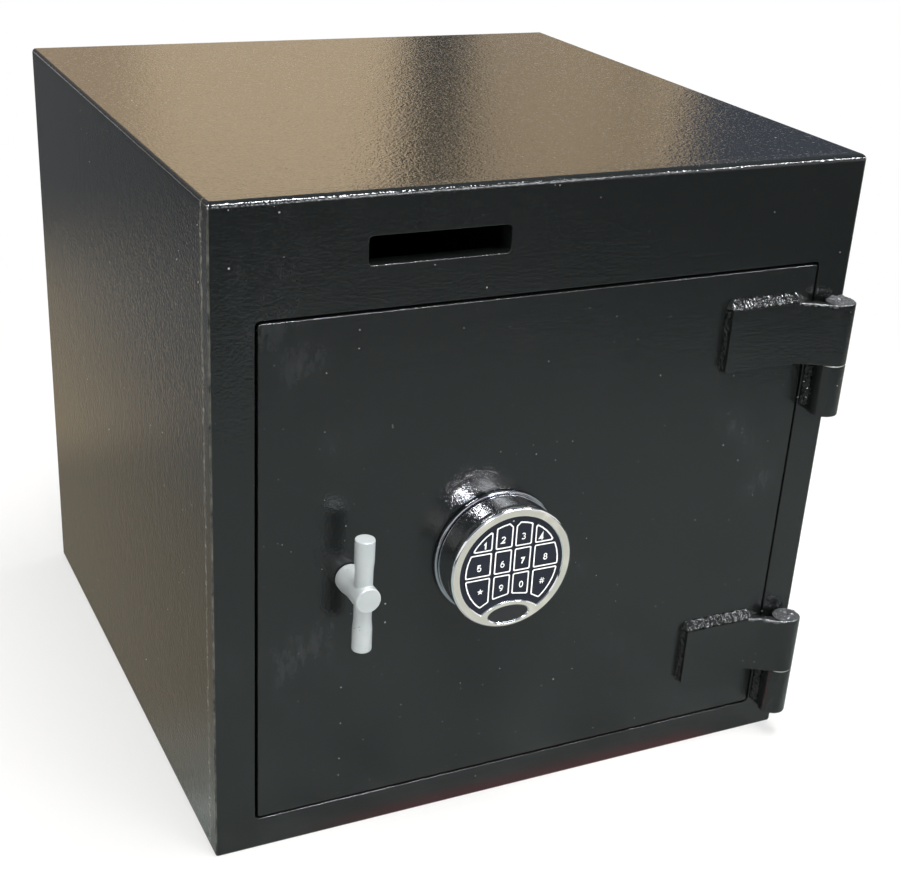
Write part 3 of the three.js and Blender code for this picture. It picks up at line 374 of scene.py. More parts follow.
def orange_peel(paint, place, texture, fineness):
    """The normal of sprayed paint: a slow swell under two sizes of small lumps."""
    grain = paint.noise(place, GRAIN[0] * fineness, 1.0)
    peel = paint.noise(place, PEEL[0] * fineness, 1.0, 0.5, 0.4)
    swell = paint.noise(place, SWELL[0], 2.0)
    depth = MM * texture / fineness
    normal = paint.bump(swell, SWELL[1] * MM * texture)
    normal = paint.bump(peel, PEEL[1] * depth, normal)
    return paint.bump(grain, GRAIN[1] * depth, normal)


def seam_marks_and_edge_highlight(paint, low, high):
    """A light line along the weld behind the front plate, a painted highlight along its upright front
    edges, and chips by the weld.

    Low and high are the corners of the front plate's box.
    """
    place = paint.node("ShaderNodeNewGeometry").outputs["Position"]
    x, y, _ = paint.axes(place)
    from_middle = paint.math("ABSOLUTE", paint.less(x, (low.x + high.x) / 2))
    from_side = paint.less((high.x - low.x) / 2, from_middle)
    beside = paint.step(from_side, 2 * MM, 1 * MM)
    swerve = paint.less(paint.noise(place, 70.0, 4.0, 0.65), 0.5)
    wandering = paint.math("ADD", y, paint.times(swerve, SEAM_WANDER))
    away = paint.math("ABSOLUTE", paint.less(wandering, high.y - SEAM_INSET))
    weld = paint.times(paint.step(away, *SEAM_EDGE), beside)
    # Painted highlight along the plate's upright front edges, in the same lighter colour as the weld line
    from_edge = paint.larger(from_side, paint.less(y, low.y))
    painted_highlight = paint.times(paint.step(from_edge, *PAINTED_EDGE_HIGHLIGHT), 0.6)
    broken = paint.between(paint.noise(place, 130.0, 3.0, 0.65), -0.7, 1.7)
    lines = paint.math("MULTIPLY", paint.larger(weld, painted_highlight), broken, clamp=True)
    chipped = paint.step(paint.noise(place, 210.0, 3.0, 0.6), 0.66, 0.7)
    near_weld = paint.times(paint.step(away, *CHIPPED_EDGE), beside)
    return lines, paint.times(chipped, near_weld)


def silver_paint():
    """Light silver-grey paint on a casting, fine-grained, with a few dark pits."""
    darker, lighter, pit_shade = (0.42, 0.46, 0.475), (0.54, 0.575, 0.58), grey(0.12)
    paint = Finish("handle_paint", Specular_IOR_Level=0.8, Metallic=0.15)
    place = paint.position()
    grain = paint.noise(place, 900.0, 3.0, 0.6)
    cloud = paint.noise(place, 60.0, 3.0)
    pits = paint.specks(place, *PITS, 0.2)
    base = paint.mix(pits, paint.mix(cloud, darker, lighter), pit_shade)
    roughness = paint.between(grain, 0.22, 0.4)
    normal = paint.bump(grain, 0.03 * MM, paint.bump(cloud, 0.25 * MM))
    return paint.set(Base_Color=base, Roughness=roughness, Normal=normal).material


def metal(name, colour, roughness, brush=0.0, axis=(1, 1, 1), wear=0.15):
    """Bare or plated metal: brushed lines along the axis whose factor is small, and faint stains."""
    plate = Finish(name, Metallic=1.0)
    place = plate.position()
    lines = plate.noise(plate.scaled(place, axis), 900.0, 2.0, 0.6)
    stain = plate.noise(place, 45.0, 4.0, 0.6)
    darker = tuple(c * (1 - wear) for c in colour)
    base = plate.mix(plate.step(stain, 0.35, 0.7), colour, darker)
    clean = plate.between(lines, roughness * 0.8, roughness * 1.25)
    stained = plate.raised(clean, plate.step(stain, 0.5, 0.75), roughness * 0.5)
    return plate.set(Base_Color=base, Roughness=stained, Normal=plate.bump(lines, brush)).material


def soft_plastic(name, colour, roughness, grain, shine=0.5):
    """Plastic or rubber with a fine grain of that depth, a little lighter in clouds."""
    part = Finish(name, Specular_IOR_Level=shine)
    place = part.position()
    fine = part.noise(place, 2600.0, 2.0)
    cloud = part.noise(place, 70.0, 3.0)
    lighter = tuple(min(1.0, c * 1.35 + 0.004) for c in colour)
    return part.set(
        Base_Color=part.mix(cloud, colour, lighter),
        Roughness=part.between(fine, roughness * 0.85, roughness * 1.15),
        Normal=part.bump(fine, grain),
    ).material


# Solids

def smooth_by_angle(angle):
    """A node group that drops imported normals and shades smooth over edges flatter than the angle."""
    group = bpy.data.node_groups.new("smooth_by_angle", "GeometryNodeTree")
    group.interface.new_socket("Geometry", in_out="INPUT", socket_type="NodeSocketGeometry")
    group.interface.new_socket("Geometry", in_out="OUTPUT", socket_type="NodeSocketGeometry")
    tree = Nodes(group)
    start = tree.node("NodeGroupInput").outputs[0]
    inputs = {"Geometry": start, "Name": "custom_normal"}
    bare = tree.node("GeometryNodeRemoveAttribute", inputs).outputs[0]
    faces = tree.node("GeometryNodeSetShadeSmooth", {"Geometry": bare}, domain="FACE").outputs[0]
    bend = tree.node("GeometryNodeInputMeshEdgeAngle").outputs["Unsigned Angle"]
    sharp = tree.math("GREATER_THAN", bend, angle)
    inputs = {"Geometry": faces, "Selection": sharp, "Shade Smooth": False}
    edges = tree.node("GeometryNodeSetShadeSmooth", inputs, domain="EDGE").outputs[0]
    tree.node("NodeGroupOutput", {0: edges})
    return group


SMOOTHING = smooth_by_angle(SMOOTH_BEND)


def refine(thing, edge, segments=2, weighted_edges=False):
    """Joins a faceted solid's corners, rounds its sharp edges by that much and shades it smooth.

    With weighted edges, only those with a bevel weight are rounded.
    """
    weld = thing.modifiers.new("weld", "WELD")
    weld.merge_threshold = WELD_DISTANCE
    if not weighted_edges:
        flat = thing.modifiers.new("flat", "DECIMATE")
        flat.decimate_type = "DISSOLVE"
        flat.angle_limit = FLAT_BEND
    bevel = thing.modifiers.new("edge", "BEVEL")
    bevel.width = edge
    bevel.segments = segments
    bevel.limit_method = "WEIGHT" if weighted_edges else "ANGLE"
    bevel.angle_limit = SHARP_BEND
    smooth = thing.modifiers.new("smooth", "NODES")
    smooth.node_group = SMOOTHING
    weighted = thing.modifiers.new("normals", "WEIGHTED_NORMAL")
    weighted.keep_sharp = True


def placed(name, data):
    """A new object of the scene with that mesh, curve, lamp or camera."""
    thing = bpy.data.objects.new(name, data)
    bpy.context.scene.collection.objects.link(thing)
    return thing


def mesh_piece(name, mesh, material, body):
    """A visible piece with that material, which moves with the body."""
    piece = placed(name, mesh)
    mesh.materials.clear()
    mesh.materials.append(material)
    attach(piece, body)
    return piece


def mesh_of(name, points, faces):
    mesh = bpy.data.meshes.new(name)
    mesh.from_pydata(points, [], faces)
    mesh.validate()
    return mesh


def shade_smooth(mesh):
    mesh.polygons.foreach_set("use_smooth", [True] * len(mesh.polygons))


def final_mesh(thing, name):
    """The thing's mesh with its modifiers applied; the thing itself goes."""
    bpy.context.view_layer.update()
    evaluated = thing.evaluated_get(bpy.context.evaluated_depsgraph_get())
    mesh = bpy.data.meshes.new_from_object(evaluated)
    mesh.name = name
    mesh.transform(thing.matrix_world)
    bpy.data.objects.remove(thing)
    return mesh


def joined(first, others, operation):
    """The first mesh after the others are added to it or cut from it."""
    for other in others:
        body, tool = placed("body", first), placed("tool", other)
        modifier = body.modifiers.new("bool", "BOOLEAN")
        modifier.object = tool
        modifier.operation = operation
        modifier.solver = "EXACT"
        first = final_mesh(body, "joined")
        bpy.data.objects.remove(tool)
    return first


def mesh_from(made, name):
    """The mesh of a bmesh; the bmesh itself goes."""
    mesh = bpy.data.meshes.new(name)
    made.to_mesh(mesh)
    made.free()
    return mesh


def lathe(profile, steps):
    """A profile of radius and height pairs, which starts and ends on the axis, turned about z."""
    made = bmesh.new()
    rings = []
    angles = [2 * math.pi * i / steps for i in range(steps)]
    for radius, height in profile:
        if radius == 0:
            rings.append([made.verts.new((0, 0, height))] * steps)
        else:
            ring = [(radius * math.cos(a), radius * math.sin(a), height) for a in angles]
            rings.append([made.verts.new(spot) for spot in ring])
    for lower, upper in zip(rings, rings[1:]):
        for i in range(steps):
            j = (i + 1) % steps
            corners = list(dict.fromkeys([lower[i], lower[j], upper[j], upper[i]]))
            if len(corners) > 2:
                made.faces.new(corners)
    bmesh.ops.recalc_face_normals(made, faces=made.faces)
    return mesh_from(made, "lathe")


def prism(outline, low, high, top=None):
    """An outline carried up along z from low to high, where it may end as another outline."""
    count = len(outline)
    points = [(x, y, low) for x, y in outline] + [(x, y, high) for x, y in top or outline]
    sides = [(i, (i + 1) % count, count + (i + 1) % count, count + i) for i in range(count)]
    ends = [tuple(range(count))[::-1], tuple(range(count, 2 * count))]
    return mesh_of("prism", points, sides + ends)


def arc(x, y, radius, start, end, steps):
    angles = [math.radians(start + (end - start) * i / steps) for i in range(steps + 1)]
    return [(x + radius * math.cos(a), y + radius * math.sin(a)) for a in angles]


def oval(x, y, half_width, half_height, start=0, end=360, steps=28):
    return [(x + half_width * px, y + half_height * py) for px, py in arc(0, 0, 1, start, end, steps)]


# Welds

def lumps(point, size, seed):
    """Unevenness about 0 and within about 1, whose lumps are of that size."""
    place = Vector(point) / size + Vector((seed * 17.3, seed * 5.1, seed * 9.7))
    return noise.fractal(place, 1.0, 2.0, 3) * 1.3


def weld_piece(name, points, faces, material, body):
    """A smooth closed piece, with doubled points joined and all faces turned outwards."""
    mesh = mesh_of(name, points, faces)
    made = bmesh.new()
    made.from_mesh(mesh)
    bmesh.ops.remove_doubles(made, verts=made.verts, dist=SAME_POINT)
    bmesh.ops.recalc_face_normals(made, faces=made.faces)
    made.to_mesh(mesh)
    made.free()
    shade_smooth(mesh)
    mesh_piece(name, mesh, material, body)


def ring_faces(rows, ring):
    """The faces between rows of points, where each row is a closed ring of that many."""
    faces = []
    for i in range(rows - 1):
        for j in range(ring):
            k = (j + 1) % ring
            faces.append((i * ring + j, i * ring + k, (i + 1) * ring + k, (i + 1) * ring + j))
    return faces


def eased(value):
    value = min(1.0, max(0.0, value))
    return value * value * (3 - 2 * value)


def bead(name, line, leg_a, leg_b, body, seed, material, swell, unevenness, ends=(3 * MM, 3 * MM)):
    """A weld laid along a line of corner points, between two faces of the corner.

    The legs are the vectors from the corner along either face to the weld's edges. Swell is
    how far its middle stands out from the straight line between those edges, and unevenness
    is how high its lumps are. It runs out over the end lengths.
    """
    across = 13
    sink = 0.35 * MM
    least = 0.12
    leg_a, leg_b = Vector(leg_a), Vector(leg_b)
    outward = (leg_a.normalized() + leg_b.normalized()).normalized()
    along_legs = leg_b.normalized() - leg_a.normalized()
    points = []
    length = (line[-1] - line[0]).length
    for corner in line:
        travelled = (corner - line[0]).length
        taper = min(eased(travelled / ends[0]), eased((length - travelled) / ends[1]))
        taper = least + (1 - least) * taper
        for j in range(across):
            t = j / (across - 1)
            flat = (leg_a * (1 - t) + leg_b * t) * taper
            spot = corner + flat + outward * swell * math.sin(math.pi * t) * taper
            lump = lumps(spot, 2.0 * MM, seed) + lumps(spot, 1.1 * MM, seed + 1) * 0.4
            edge = lumps(corner, 3 * MM, seed + j // 8) * (2 * t - 1) ** 2 * 0.8
            fade = math.sin(math.pi * (0.1 + 0.8 * t))
            points.append(spot + (outward * lump * fade + along_legs * edge) * unevenness * taper)
        points.append(corner - outward * sink)
    ring = across + 1
    last = (len(line) - 1) * ring
    faces = ring_faces(len(line), ring) + [tuple(range(ring))[::-1], tuple(range(last, last + ring))]
    weld_piece(name, points, faces, material, body)


def straight(start, end):
    """A line of points from start to end for a weld to follow."""
    pitch = 0.4 * MM
    start, end = Vector(start), Vector(end)
    count = max(2, round((end - start).length / pitch))
    return [start.lerp(end, i / count) for i in range(count + 1)]


def barrel_cap(name, centre, seed, material):
    """The weld that closes a knuckle's top: a lumpy low disc with a small pit in its middle."""
    radius, height = BARREL_RADIUS * 0.97, 2.2 * MM
    rings, steps = 20, 80
    pit_radius, pit_depth, sink = 1.7 * MM, 1.4, 1.9 * MM
    large, small = 4.5 * MM, 1.8 * MM
    angles = [2 * math.pi * j / steps for j in range(steps)]
    points = []
    for i in range(rings + 1):
        r = radius * i / rings
        for a in angles:
            spot = centre + Vector((r * math.cos(a), r * math.sin(a), 0))
            edge = 1 - (r / radius) ** 6
            pit = math.exp(-((r / pit_radius) ** 2)) * pit_depth
            lump = 0.7 + 0.6 * lumps(spot, large, seed) + 0.25 * lumps(spot, small, seed + 3)
            points.append(spot + Vector((0, 0, height * (lump * edge - pit))))
    points += [centre + Vector((radius * math.cos(a), radius * math.sin(a), -sink)) for a in angles]
    low = (rings + 1) * steps
    faces = ring_faces(rings + 2, steps) + [tuple(range(low, low + steps))[::-1]]
    weld_piece(name, points, faces, material, "door")


def door_face():
    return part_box("door_plate")[0].y


def leaf_welds(place, bend, seed, material):
    """The welds between the door and the top, end and foot of a hinge's strap."""
    low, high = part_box(place + "_hinge_leaf")
    face = door_face()
    out = Vector((0, -LEAF_THICKNESS, 0))
    top = straight((low.x - 2 * MM, face, high.z), (bend + 8 * MM, face, high.z))
    bead(place + "_leaf_top_weld", top, out * 0.88, (0, 0, 6.6 * MM), "door", seed, material,
         swell=0.3 * MM, unevenness=0.95 * MM, ends=(3 * MM, 12 * MM))
    end = straight((low.x, face, low.z - 1 * MM), (low.x, face, high.z + 1 * MM))
    bead(place + "_leaf_end_weld", end, out * 0.6, (-1.6 * MM, 0, 0), "door", seed + 1, material,
         swell=0.1 * MM, unevenness=0.6 * MM)
    foot = straight((low.x - 1 * MM, face, low.z), (bend, face, low.z))
    bead(place + "_leaf_foot_weld", foot, out * 0.35, (0, 0, -1.6 * MM), "door", seed + 2, material,
         swell=0.1 * MM, unevenness=0.12 * MM, ends=(2 * MM, 10 * MM))


def knuckle_welds(place, axis_x, seed, material):
    """The welds on both sides of a hinge's fixed knuckle."""
    low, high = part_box(place + "_hinge_knuckle")
    for side, name, reach in ((-1, "left", 3.4 * MM), (1, "right", 1.5 * MM)):
        x = axis_x + side * KNUCKLE_HALF_FOOT
        line = straight((x, high.y, low.z + 1 * MM), (x, high.y, high.z - 1 * MM))
        bead(f"{place}_knuckle_{name}_weld", line, (0, -4 * MM, 0), (side * reach, 0, 0), "box",
             seed + side, material, swell=0.1 * MM, unevenness=0.9 * MM)


def bend_ridge(place, axis_x, axis_y, top, seed, material):
    """The thick paint along a strap's upper edge, from its bend to where it meets the barrel."""
    corner = Vector((axis_x - BEND_FROM_AXIS, door_face() - LEAF_THICKNESS, top))
    from_axis = corner - Vector((axis_x, axis_y, top))
    heading = math.atan2(from_axis.y, from_axis.x) % (2 * math.pi)
    tangent = heading + math.acos(BARREL_RADIUS / from_axis.length)
    across, along = math.cos(tangent), math.sin(tangent)
    touch = Vector((axis_x + BARREL_RADIUS * across, axis_y + BARREL_RADIUS * along, top))
    path = straight(corner - Vector((4 * MM, 0, 0)), corner)[:-1] + straight(corner, touch)
    inwards = -Vector((across, along, 0))
    bead(place + "_bend_ridge", path, (0, 0, -1.8 * MM), inwards * 2.8 * MM, "door", seed, material,
         swell=0.8 * MM, unevenness=0.7 * MM, ends=(1 * MM, 1 * MM))


def dress_hinge(place, seed, material, cap_material):
    """The welds of one hinge, and the thick paint at its bend and on its barrel, these two in a lighter
    grey that is painted sheen.
    """
    low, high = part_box(place + "_hinge_leaf")
    axis_x = high.x - BARREL_RADIUS
    axis_y = low.y + BARREL_RADIUS
    leaf_welds(place, axis_x - BEND_FROM_AXIS, seed, material)
    knuckle_welds(place, axis_x, seed + 5, material)
    bend_ridge(place, axis_x, axis_y, high.z, seed + 12, cap_material)
    barrel_cap(place + "_knuckle_cap", Vector((axis_x, axis_y, high.z)), seed + 9, cap_material)


# Entry pad

TURN_TO_FRONT = Matrix.Rotation(math.pi / 2, 4, "X")


def on_door(x, z):
    """The matrix that stands a thing made about z on the door's face."""
    return Matrix.Translation((x, door_face(), z)) @ TURN_TO_FRONT


def pad_matrix():
    low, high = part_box("keypad_base")
    centre = (low + high) / 2
    return on_door(centre.x, centre.z)


def opening_outline(grow):
    """The bezel's opening: a circle with a wave along its foot."""
    radius, wave, depth = 37.6 * MM + grow, 35 * MM - grow, 59.5 * MM
    meet_y = (wave**2 - radius**2 - depth**2) / (2 * depth)
    meet_x = math.sqrt(radius**2 - meet_y**2)
    rim = math.degrees(math.atan2(meet_y, meet_x))
    crest = math.degrees(math.atan2(meet_y + depth, meet_x))
    return arc(0, 0, radius, rim, 180 - rim, 120)[:-1] + arc(0, -depth, wave, 180 - crest, crest, 40)[:-1]


def housing_cup():
    """The housing's solid: a straight skirt, and a flare up to the rolled lip of its front."""
    front, back, foot, lip = PAD_FRONT, PAD_BACK, PAD_FOOT, PAD_LIP
    inside = [(0, back), (PAD_INSIDE, back), (PAD_INSIDE, foot)]
    skirt = [(42.7 * MM, foot), (43.1 * MM, foot + 0.15 * MM), (43.3 * MM, foot + 0.6 * MM)]
    flare = [(43.3 * MM, 19.6 * MM), (43.38 * MM, 20.6 * MM), (43.7 * MM, 21.9 * MM),
             (44.0 * MM, 23.1 * MM), (lip, 24.2 * MM)]
    roll = arc(lip - LIP_ROLL, front - LIP_ROLL, LIP_ROLL, 0, 72, 8)
    return lathe(inside + skirt + flare + roll + [(42.3 * MM, front), (0, front)], 192)


def badge_outline(half_width, half_height):
    return oval(0, BADGE_CENTRE, half_width, half_height, steps=72)[:-1]


def dress_pad(chrome, satin, dark):
    """Housing: a polished cup with a rolled lip, round a satin bezel with a bare oval recess."""
    front, overcut, through, near = PAD_FRONT, 0.1 * MM, 5 * MM, 0.1 * MM
    cup = housing_cup()
    hole = prism(opening_outline(0), PAD_BACK - through, front + through)
    rolled = prism(opening_outline(0), front - BEZEL_SLOPE, front + overcut,
                   opening_outline(BEZEL_SLOPE + overcut))
    badge = prism(badge_outline(*BADGE_FOOT), front - BADGE_DEPTH, front + overcut,
                  badge_outline(*BADGE_MOUTH))
    mesh = joined(cup, [hole, rolled, badge], "DIFFERENCE")
    mesh.transform(pad_matrix())
    housing = mesh_piece("keypad_shell", mesh, chrome, "door")
    mesh.materials.append(satin)
    mesh.materials.append(dark)
    face_y = door_face() - front
    for polygon in mesh.polygons:
        depth = polygon.center.y - face_y
        flat = abs(polygon.normal.y) > 0.95
        if flat and abs(depth) < near:
            polygon.material_index = 1
        elif flat and abs(depth - BADGE_DEPTH) < near:
            polygon.material_index = 2
    refine(housing, SMALL_EDGE)
    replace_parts(housing, "keypad_housing")


def clip_convex(points, normal, limit):
    """The part of a convex outline where its dot product with the normal is at most the limit."""
    kept = []
    for here, ahead in zip(points, points[1:] + points[:1]):
        a = here[0] * normal[0] + here[1] * normal[1] - limit
        b = ahead[0] * normal[0] + ahead[1] * normal[1] - limit
        if a <= 0:
            kept.append(here)
        if a * b < 0:
            share = a / (a - b)
            kept.append((here[0] + share * (ahead[0] - here[0]), here[1] + share * (ahead[1] - here[1])))
    return kept


def inset(points, margin):
    """A convex outline, counter-clockwise, moved inwards on all sides."""
    inner = points
    for (ax, ay), (bx, by) in zip(points, points[1:] + points[:1]):
        length = math.hypot(bx - ax, by - ay)
        if length > 1e-7:
            normal = ((by - ay) / length, (ax - bx) / length)
            inner = clip_convex(inner, normal, ax * normal[0] + ay * normal[1] - margin)
    return inner


def key_outline(node, to_pad):
    """The outline of a key's front face in the pad's plane, counter-clockwise."""
    points = [to_pad @ vertex.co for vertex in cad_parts[node].data.vertices]
    top = max(point.z for point in points)
    face = {(round(p.x, 6), round(p.y, 6)) for p in points if top - p.z < SAME_PLANE}
    x = sum(p[0] for p in face) / len(face)
    y = sum(p[1] for p in face) / len(face)
    return sorted(face, key=lambda p: math.atan2(p[1] - y, p[0] - x)), top


def curve_mesh(curve, name):
    return final_mesh(placed(name, curve), name)


def flat_curve(outlines):
    curve = bpy.data.curves.new("outline", "CURVE")
    curve.dimensions = "2D"
    curve.fill_mode = "BOTH"
    curve.extrude = PRINT_HEIGHT / 2
    for outline in outlines:
        spline = curve.splines.new("POLY")
        spline.points.add(len(outline) - 1)
        for point, (x, y) in zip(spline.points, outline):
            point.co = (x, y, 0, 1)
        spline.use_cyclic_u = True
    return curve


def rounded(points, radius):
    """A convex outline, counter-clockwise, with its corners rounded."""
    core = inset(points, radius)
    core = [p for p, q in zip(core, core[1:] + core[:1]) if math.dist(p, q) > 1e-6]
    out = []
    for before, here, ahead in zip(core[-1:] + core[:-1], core, core[1:] + core[:1]):
        start = math.atan2(before[0] - here[0], here[1] - before[1])
        turn = (math.atan2(here[0] - ahead[0], ahead[1] - here[1]) - start) % (2 * math.pi)
        steps = max(1, round(turn / math.radians(12)))
        angles = [start + turn * i / steps for i in range(steps + 1)]
        out += [(here[0] + radius * math.cos(a), here[1] + radius * math.sin(a)) for a in angles]
    return out


def star_outline(radius):
    return [(r * math.sin(math.pi * i / 5), r * math.cos(math.pi * i / 5))
            for i, r in enumerate([radius, radius * 0.42] * 5)]


def turned_about(strokes):
    return [[(-x, -y) for x, y in stroke] for stroke in strokes]


# Middle lines of the strokes, for a character 1 high; a line that ends where it starts is closed
SIX = [oval(0, -0.165, 0.235, 0.25), oval(0.16, -0.165, 0.395, 0.58, 180, 96, 12)]
STROKES = {
    "0": [oval(0, 0, 0.235, 0.415)],
    "1": [[(-0.17, 0.2), (0.03, 0.415), (0.03, -0.415)]],
    "2": [oval(0, 0.19, 0.23, 0.225, 165, -38, 16) + [(-0.235, -0.415), (0.255, -0.415)]],
    "3": [oval(-0.01, 0.205, 0.205, 0.21, 150, -90, 14), oval(-0.01, -0.205, 0.235, 0.21, 90, -150, 14)],
    "4": [[(0.27, -0.17), (-0.27, -0.17), (0.1, 0.415), (0.1, -0.415)]],
    "5": [[(0.2, 0.415), (-0.17, 0.415), (-0.2, 0.02)] + oval(0, -0.15, 0.235, 0.265, 128, -150, 16)],
    "6": SIX,
    "7": [[(-0.235, 0.415), (0.235, 0.415), (-0.08, -0.415)]],
    "8": [oval(0, 0.21, 0.195, 0.205), oval(0, -0.2, 0.235, 0.215)],
    "9": turned_about(SIX),
    "hash": [[(-0.19, -0.45), (-0.09, 0.45)], [(0.09, -0.45), (0.19, 0.45)],
             [(-0.36, 0.16), (0.38, 0.16)], [(-0.38, -0.16), (0.36, -0.16)]],
}


def stroke_outlines(points, width):
    """The outlines of a line of that width: two for a closed line, one for an open one."""
    longest_corner = 1.3
    closed = math.dist(points[0], points[-1]) < 1e-9
    if closed:
        points = points[:-1]
    sides = ([], [])
    for i, (x, y) in enumerate(points):
        before = points[i - 1] if i or closed else (x, y)
        ahead = points[(i + 1) % len(points)] if i + 1 < len(points) or closed else (x, y)
        normals = []
        for (ax, ay), (bx, by) in ((before, (x, y)), ((x, y), ahead)):
            length = math.hypot(bx - ax, by - ay)
            if length:
                normals.append(((by - ay) / length, (ax - bx) / length))
        nx = sum(n[0] for n in normals)
        ny = sum(n[1] for n in normals)
        size = math.hypot(nx, ny)
        reach = width / 2
        if len(normals) > 1:
            reach = width * min(1.0, longest_corner / size) / size
        for side, sign in zip(sides, (1, -1)):
            side.append((x + sign * reach * nx / size, y + sign * reach * ny / size))
    return list(sides) if closed else [sides[0] + sides[1][::-1]]


def character(name, x, y):
    """The flat meshes of a key's digit or sign, about that place in the pad's plane."""
    if name == "star":
        outlines = [[star_outline(STAR_RADIUS)]]
    else:
        height, width = (HASH_HEIGHT, HASH_STROKE) if name == "hash" else (DIGIT_HEIGHT, DIGIT_STROKE)
        outlines = [[[(px * height, py * height) for px, py in outline]
                     for outline in stroke_outlines(stroke, width / height)] for stroke in STROKES[name]]
    meshes = [curve_mesh(flat_curve(group), "stroke") for group in outlines]
    for mesh in meshes:
        mesh.transform(Matrix.Translation((x, y, 0)))
    return meshes


def dress_status_lamp(material):
    """The small clear lamp in the pad's face above the keys."""
    radius, height, sunk = 0.7 * MM, 0.35 * MM, 0.3 * MM
    rise = [(radius * math.cos(a), height * math.sin(a)) for a in (0.4, 0.8, 1.2)]
    dome = lathe([(0, -sunk), (radius, -sunk), (radius, 0)] + rise + [(0, height)], 24)
    to_pad = pad_matrix().inverted()
    face = max((to_pad @ Vector(corner)).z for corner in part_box("keypad_face"))
    dome.transform(pad_matrix() @ Matrix.Translation((*STATUS_LAMP_PLACE, face)))
    shade_smooth(dome)
    mesh_piece("status_lamp", dome, material, "door")


def dress_keys(ink):
    """White print on each key: a line round its edge, and its digit or sign."""
    to_world = pad_matrix()
    to_pad = to_world.inverted()
    for key, (x, y) in KEY_PRINTS.items():
        outline, top = key_outline("key_" + key, to_pad)
        outer = rounded(inset(outline, PRINT_MARGIN), PRINT_CORNER)
        inner = rounded(inset(outline, PRINT_MARGIN + PRINT_LINE), PRINT_CORNER * 0.6)
        both = bmesh.new()
        for mesh in [curve_mesh(flat_curve([outer, inner]), "ring")] + character(key, x * MM, y * MM):
            both.from_mesh(mesh)
        bmesh.ops.translate(both, verts=both.verts, vec=(0, 0, top + PRINT_HEIGHT / 2 - PRINT_SINK))
        bmesh.ops.transform(both, verts=both.verts, matrix=to_world)
        bmesh.ops.remove_doubles(both, verts=both.verts, dist=SAME_POINT)
        name = f"key_{key}_print"
        mesh_piece(name, mesh_from(both, name), ink, "button_" + key)


# Handle

def turned(profile):
    """A profile in millimetres turned about z."""
    return lathe([(r * MM, z * MM) for r, z in profile], 96)


def dress_handle(material):
    """The cast handle: hub and spokes grown together with soft corners."""
    hub = turned(HUB)
    spokes = turned([(r, -z) for r, z in reversed(HALF_SPOKE[1:])] + HALF_SPOKE)
    spokes.transform(Matrix.Translation((0, 0, SPOKE_HEIGHT)) @ TURN_TO_FRONT)
    casting = placed("casting", joined(hub, [spokes], "UNION"))
    remesh = casting.modifiers.new("grain", "REMESH")
    remesh.mode = "VOXEL"
    remesh.voxel_size = 0.34 * MM
    soften = casting.modifiers.new("soften", "SMOOTH")
    soften.factor = 0.5
    soften.iterations = 4
    mesh = final_mesh(casting, "handle_casting")
    low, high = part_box("handle_spindle")
    axis = (low + high) / 2
    mesh.transform(on_door(axis.x, axis.z))
    shade_smooth(mesh)
    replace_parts(mesh_piece("handle_casting", mesh, material, "turn_handle"), "handle")


# Stage

def add_camera():
    lens = bpy.data.cameras.new("camera")
    lens.sensor_width = 36
    lens.lens = CAMERA_LENS
    lens.shift_x, lens.shift_y = CAMERA_SHIFT
    camera = placed("camera", lens)
    back = CAMERA_RIGHT.cross(CAMERA_UP)
    turn = Matrix((CAMERA_RIGHT, CAMERA_UP, back)).transposed().to_4x4()
    camera.matrix_world = Matrix.Translation(CAMERA_PLACE) @ turn
    bpy.context.scene.camera = camera


def add_lamp(name, place, target, size, power, colour, on_matt=True, on_gloss=True):
    lamp = bpy.data.lights.new(name, "AREA")
    lamp.shape = "RECTANGLE"
    lamp.size, lamp.size_y = size
    lamp.energy = power
    lamp.color = colour
    holder = placed(name, lamp)
    holder.location = place
    holder.rotation_euler = (Vector(target) - Vector(place)).to_track_quat("-Z", "Y").to_euler()
    holder.visible_diffuse = on_matt
    holder.visible_glossy = on_gloss


def bare_material(name):
    """A new material that has no shader yet, its tree, and the socket of its surface."""
    material = bpy.data.materials.new(name)
    material.use_nodes = True
    nodes = material.node_tree.nodes
    nodes.remove(nodes["Principled BSDF"])
    return material, Nodes(material.node_tree), nodes["Material Output"].inputs["Surface"]


def add_card(name, points, faces):
    """A card that only reflections show, as the tree of its material and the surface's socket."""
    card = placed(name, mesh_of(name, points, faces))
    material, tree, surface = bare_material(name)
    card.data.materials.append(material)
    card.visible_camera = card.visible_diffuse = card.visible_shadow = False
    return tree, surface


def add_wall(name, azimuths, colour):
    """A part of the room's wall between two azimuths."""
    steps = 24
    points = []
    for i in range(steps + 1):
        a = math.radians(azimuths[0] + (azimuths[1] - azimuths[0]) * i / steps)
        points += [(WALL_DISTANCE * math.sin(a), WALL_DISTANCE * math.cos(a), z) for z in WALL_HEIGHTS]
    tree, surface = add_card(name, points, [(2 * i, 2 * i + 1, 2 * i + 3, 2 * i + 2) for i in range(steps)])
    height = tree.axes(tree.position())[2]
    strength = tree.between(tree.step(height, *WALL_DUSK), *WALL_STRENGTHS)
    tree.put(surface, tree.glow(colour, strength))


def add_ceiling():
    """A dim ceiling, so that what faces up mirrors less than the white surround."""
    (x0, y0), (x1, y1), z = CEILING
    points = [(x0, y0, z), (x1, y0, z), (x1, y1, z), (x0, y1, z)]
    tree, surface = add_card("ceiling", points, [(0, 1, 2, 3)])
    patches = tree.mix(tree.noise(tree.position(), 0.7, 3.0), *CEILING_TONES)
    tree.put(surface, tree.glow(patches))


def red_strip(tree, x, y):
    """1 on the strip of floor that shows red along the foot of the front."""
    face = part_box("front_plate")[0].y
    along = tree.times(*(tree.step(x, *end) for end in RED_ENDS))
    before = tree.times(*(tree.step(y, face + outer, face + inner) for outer, inner in RED_EDGES))
    return tree.times(before, along)


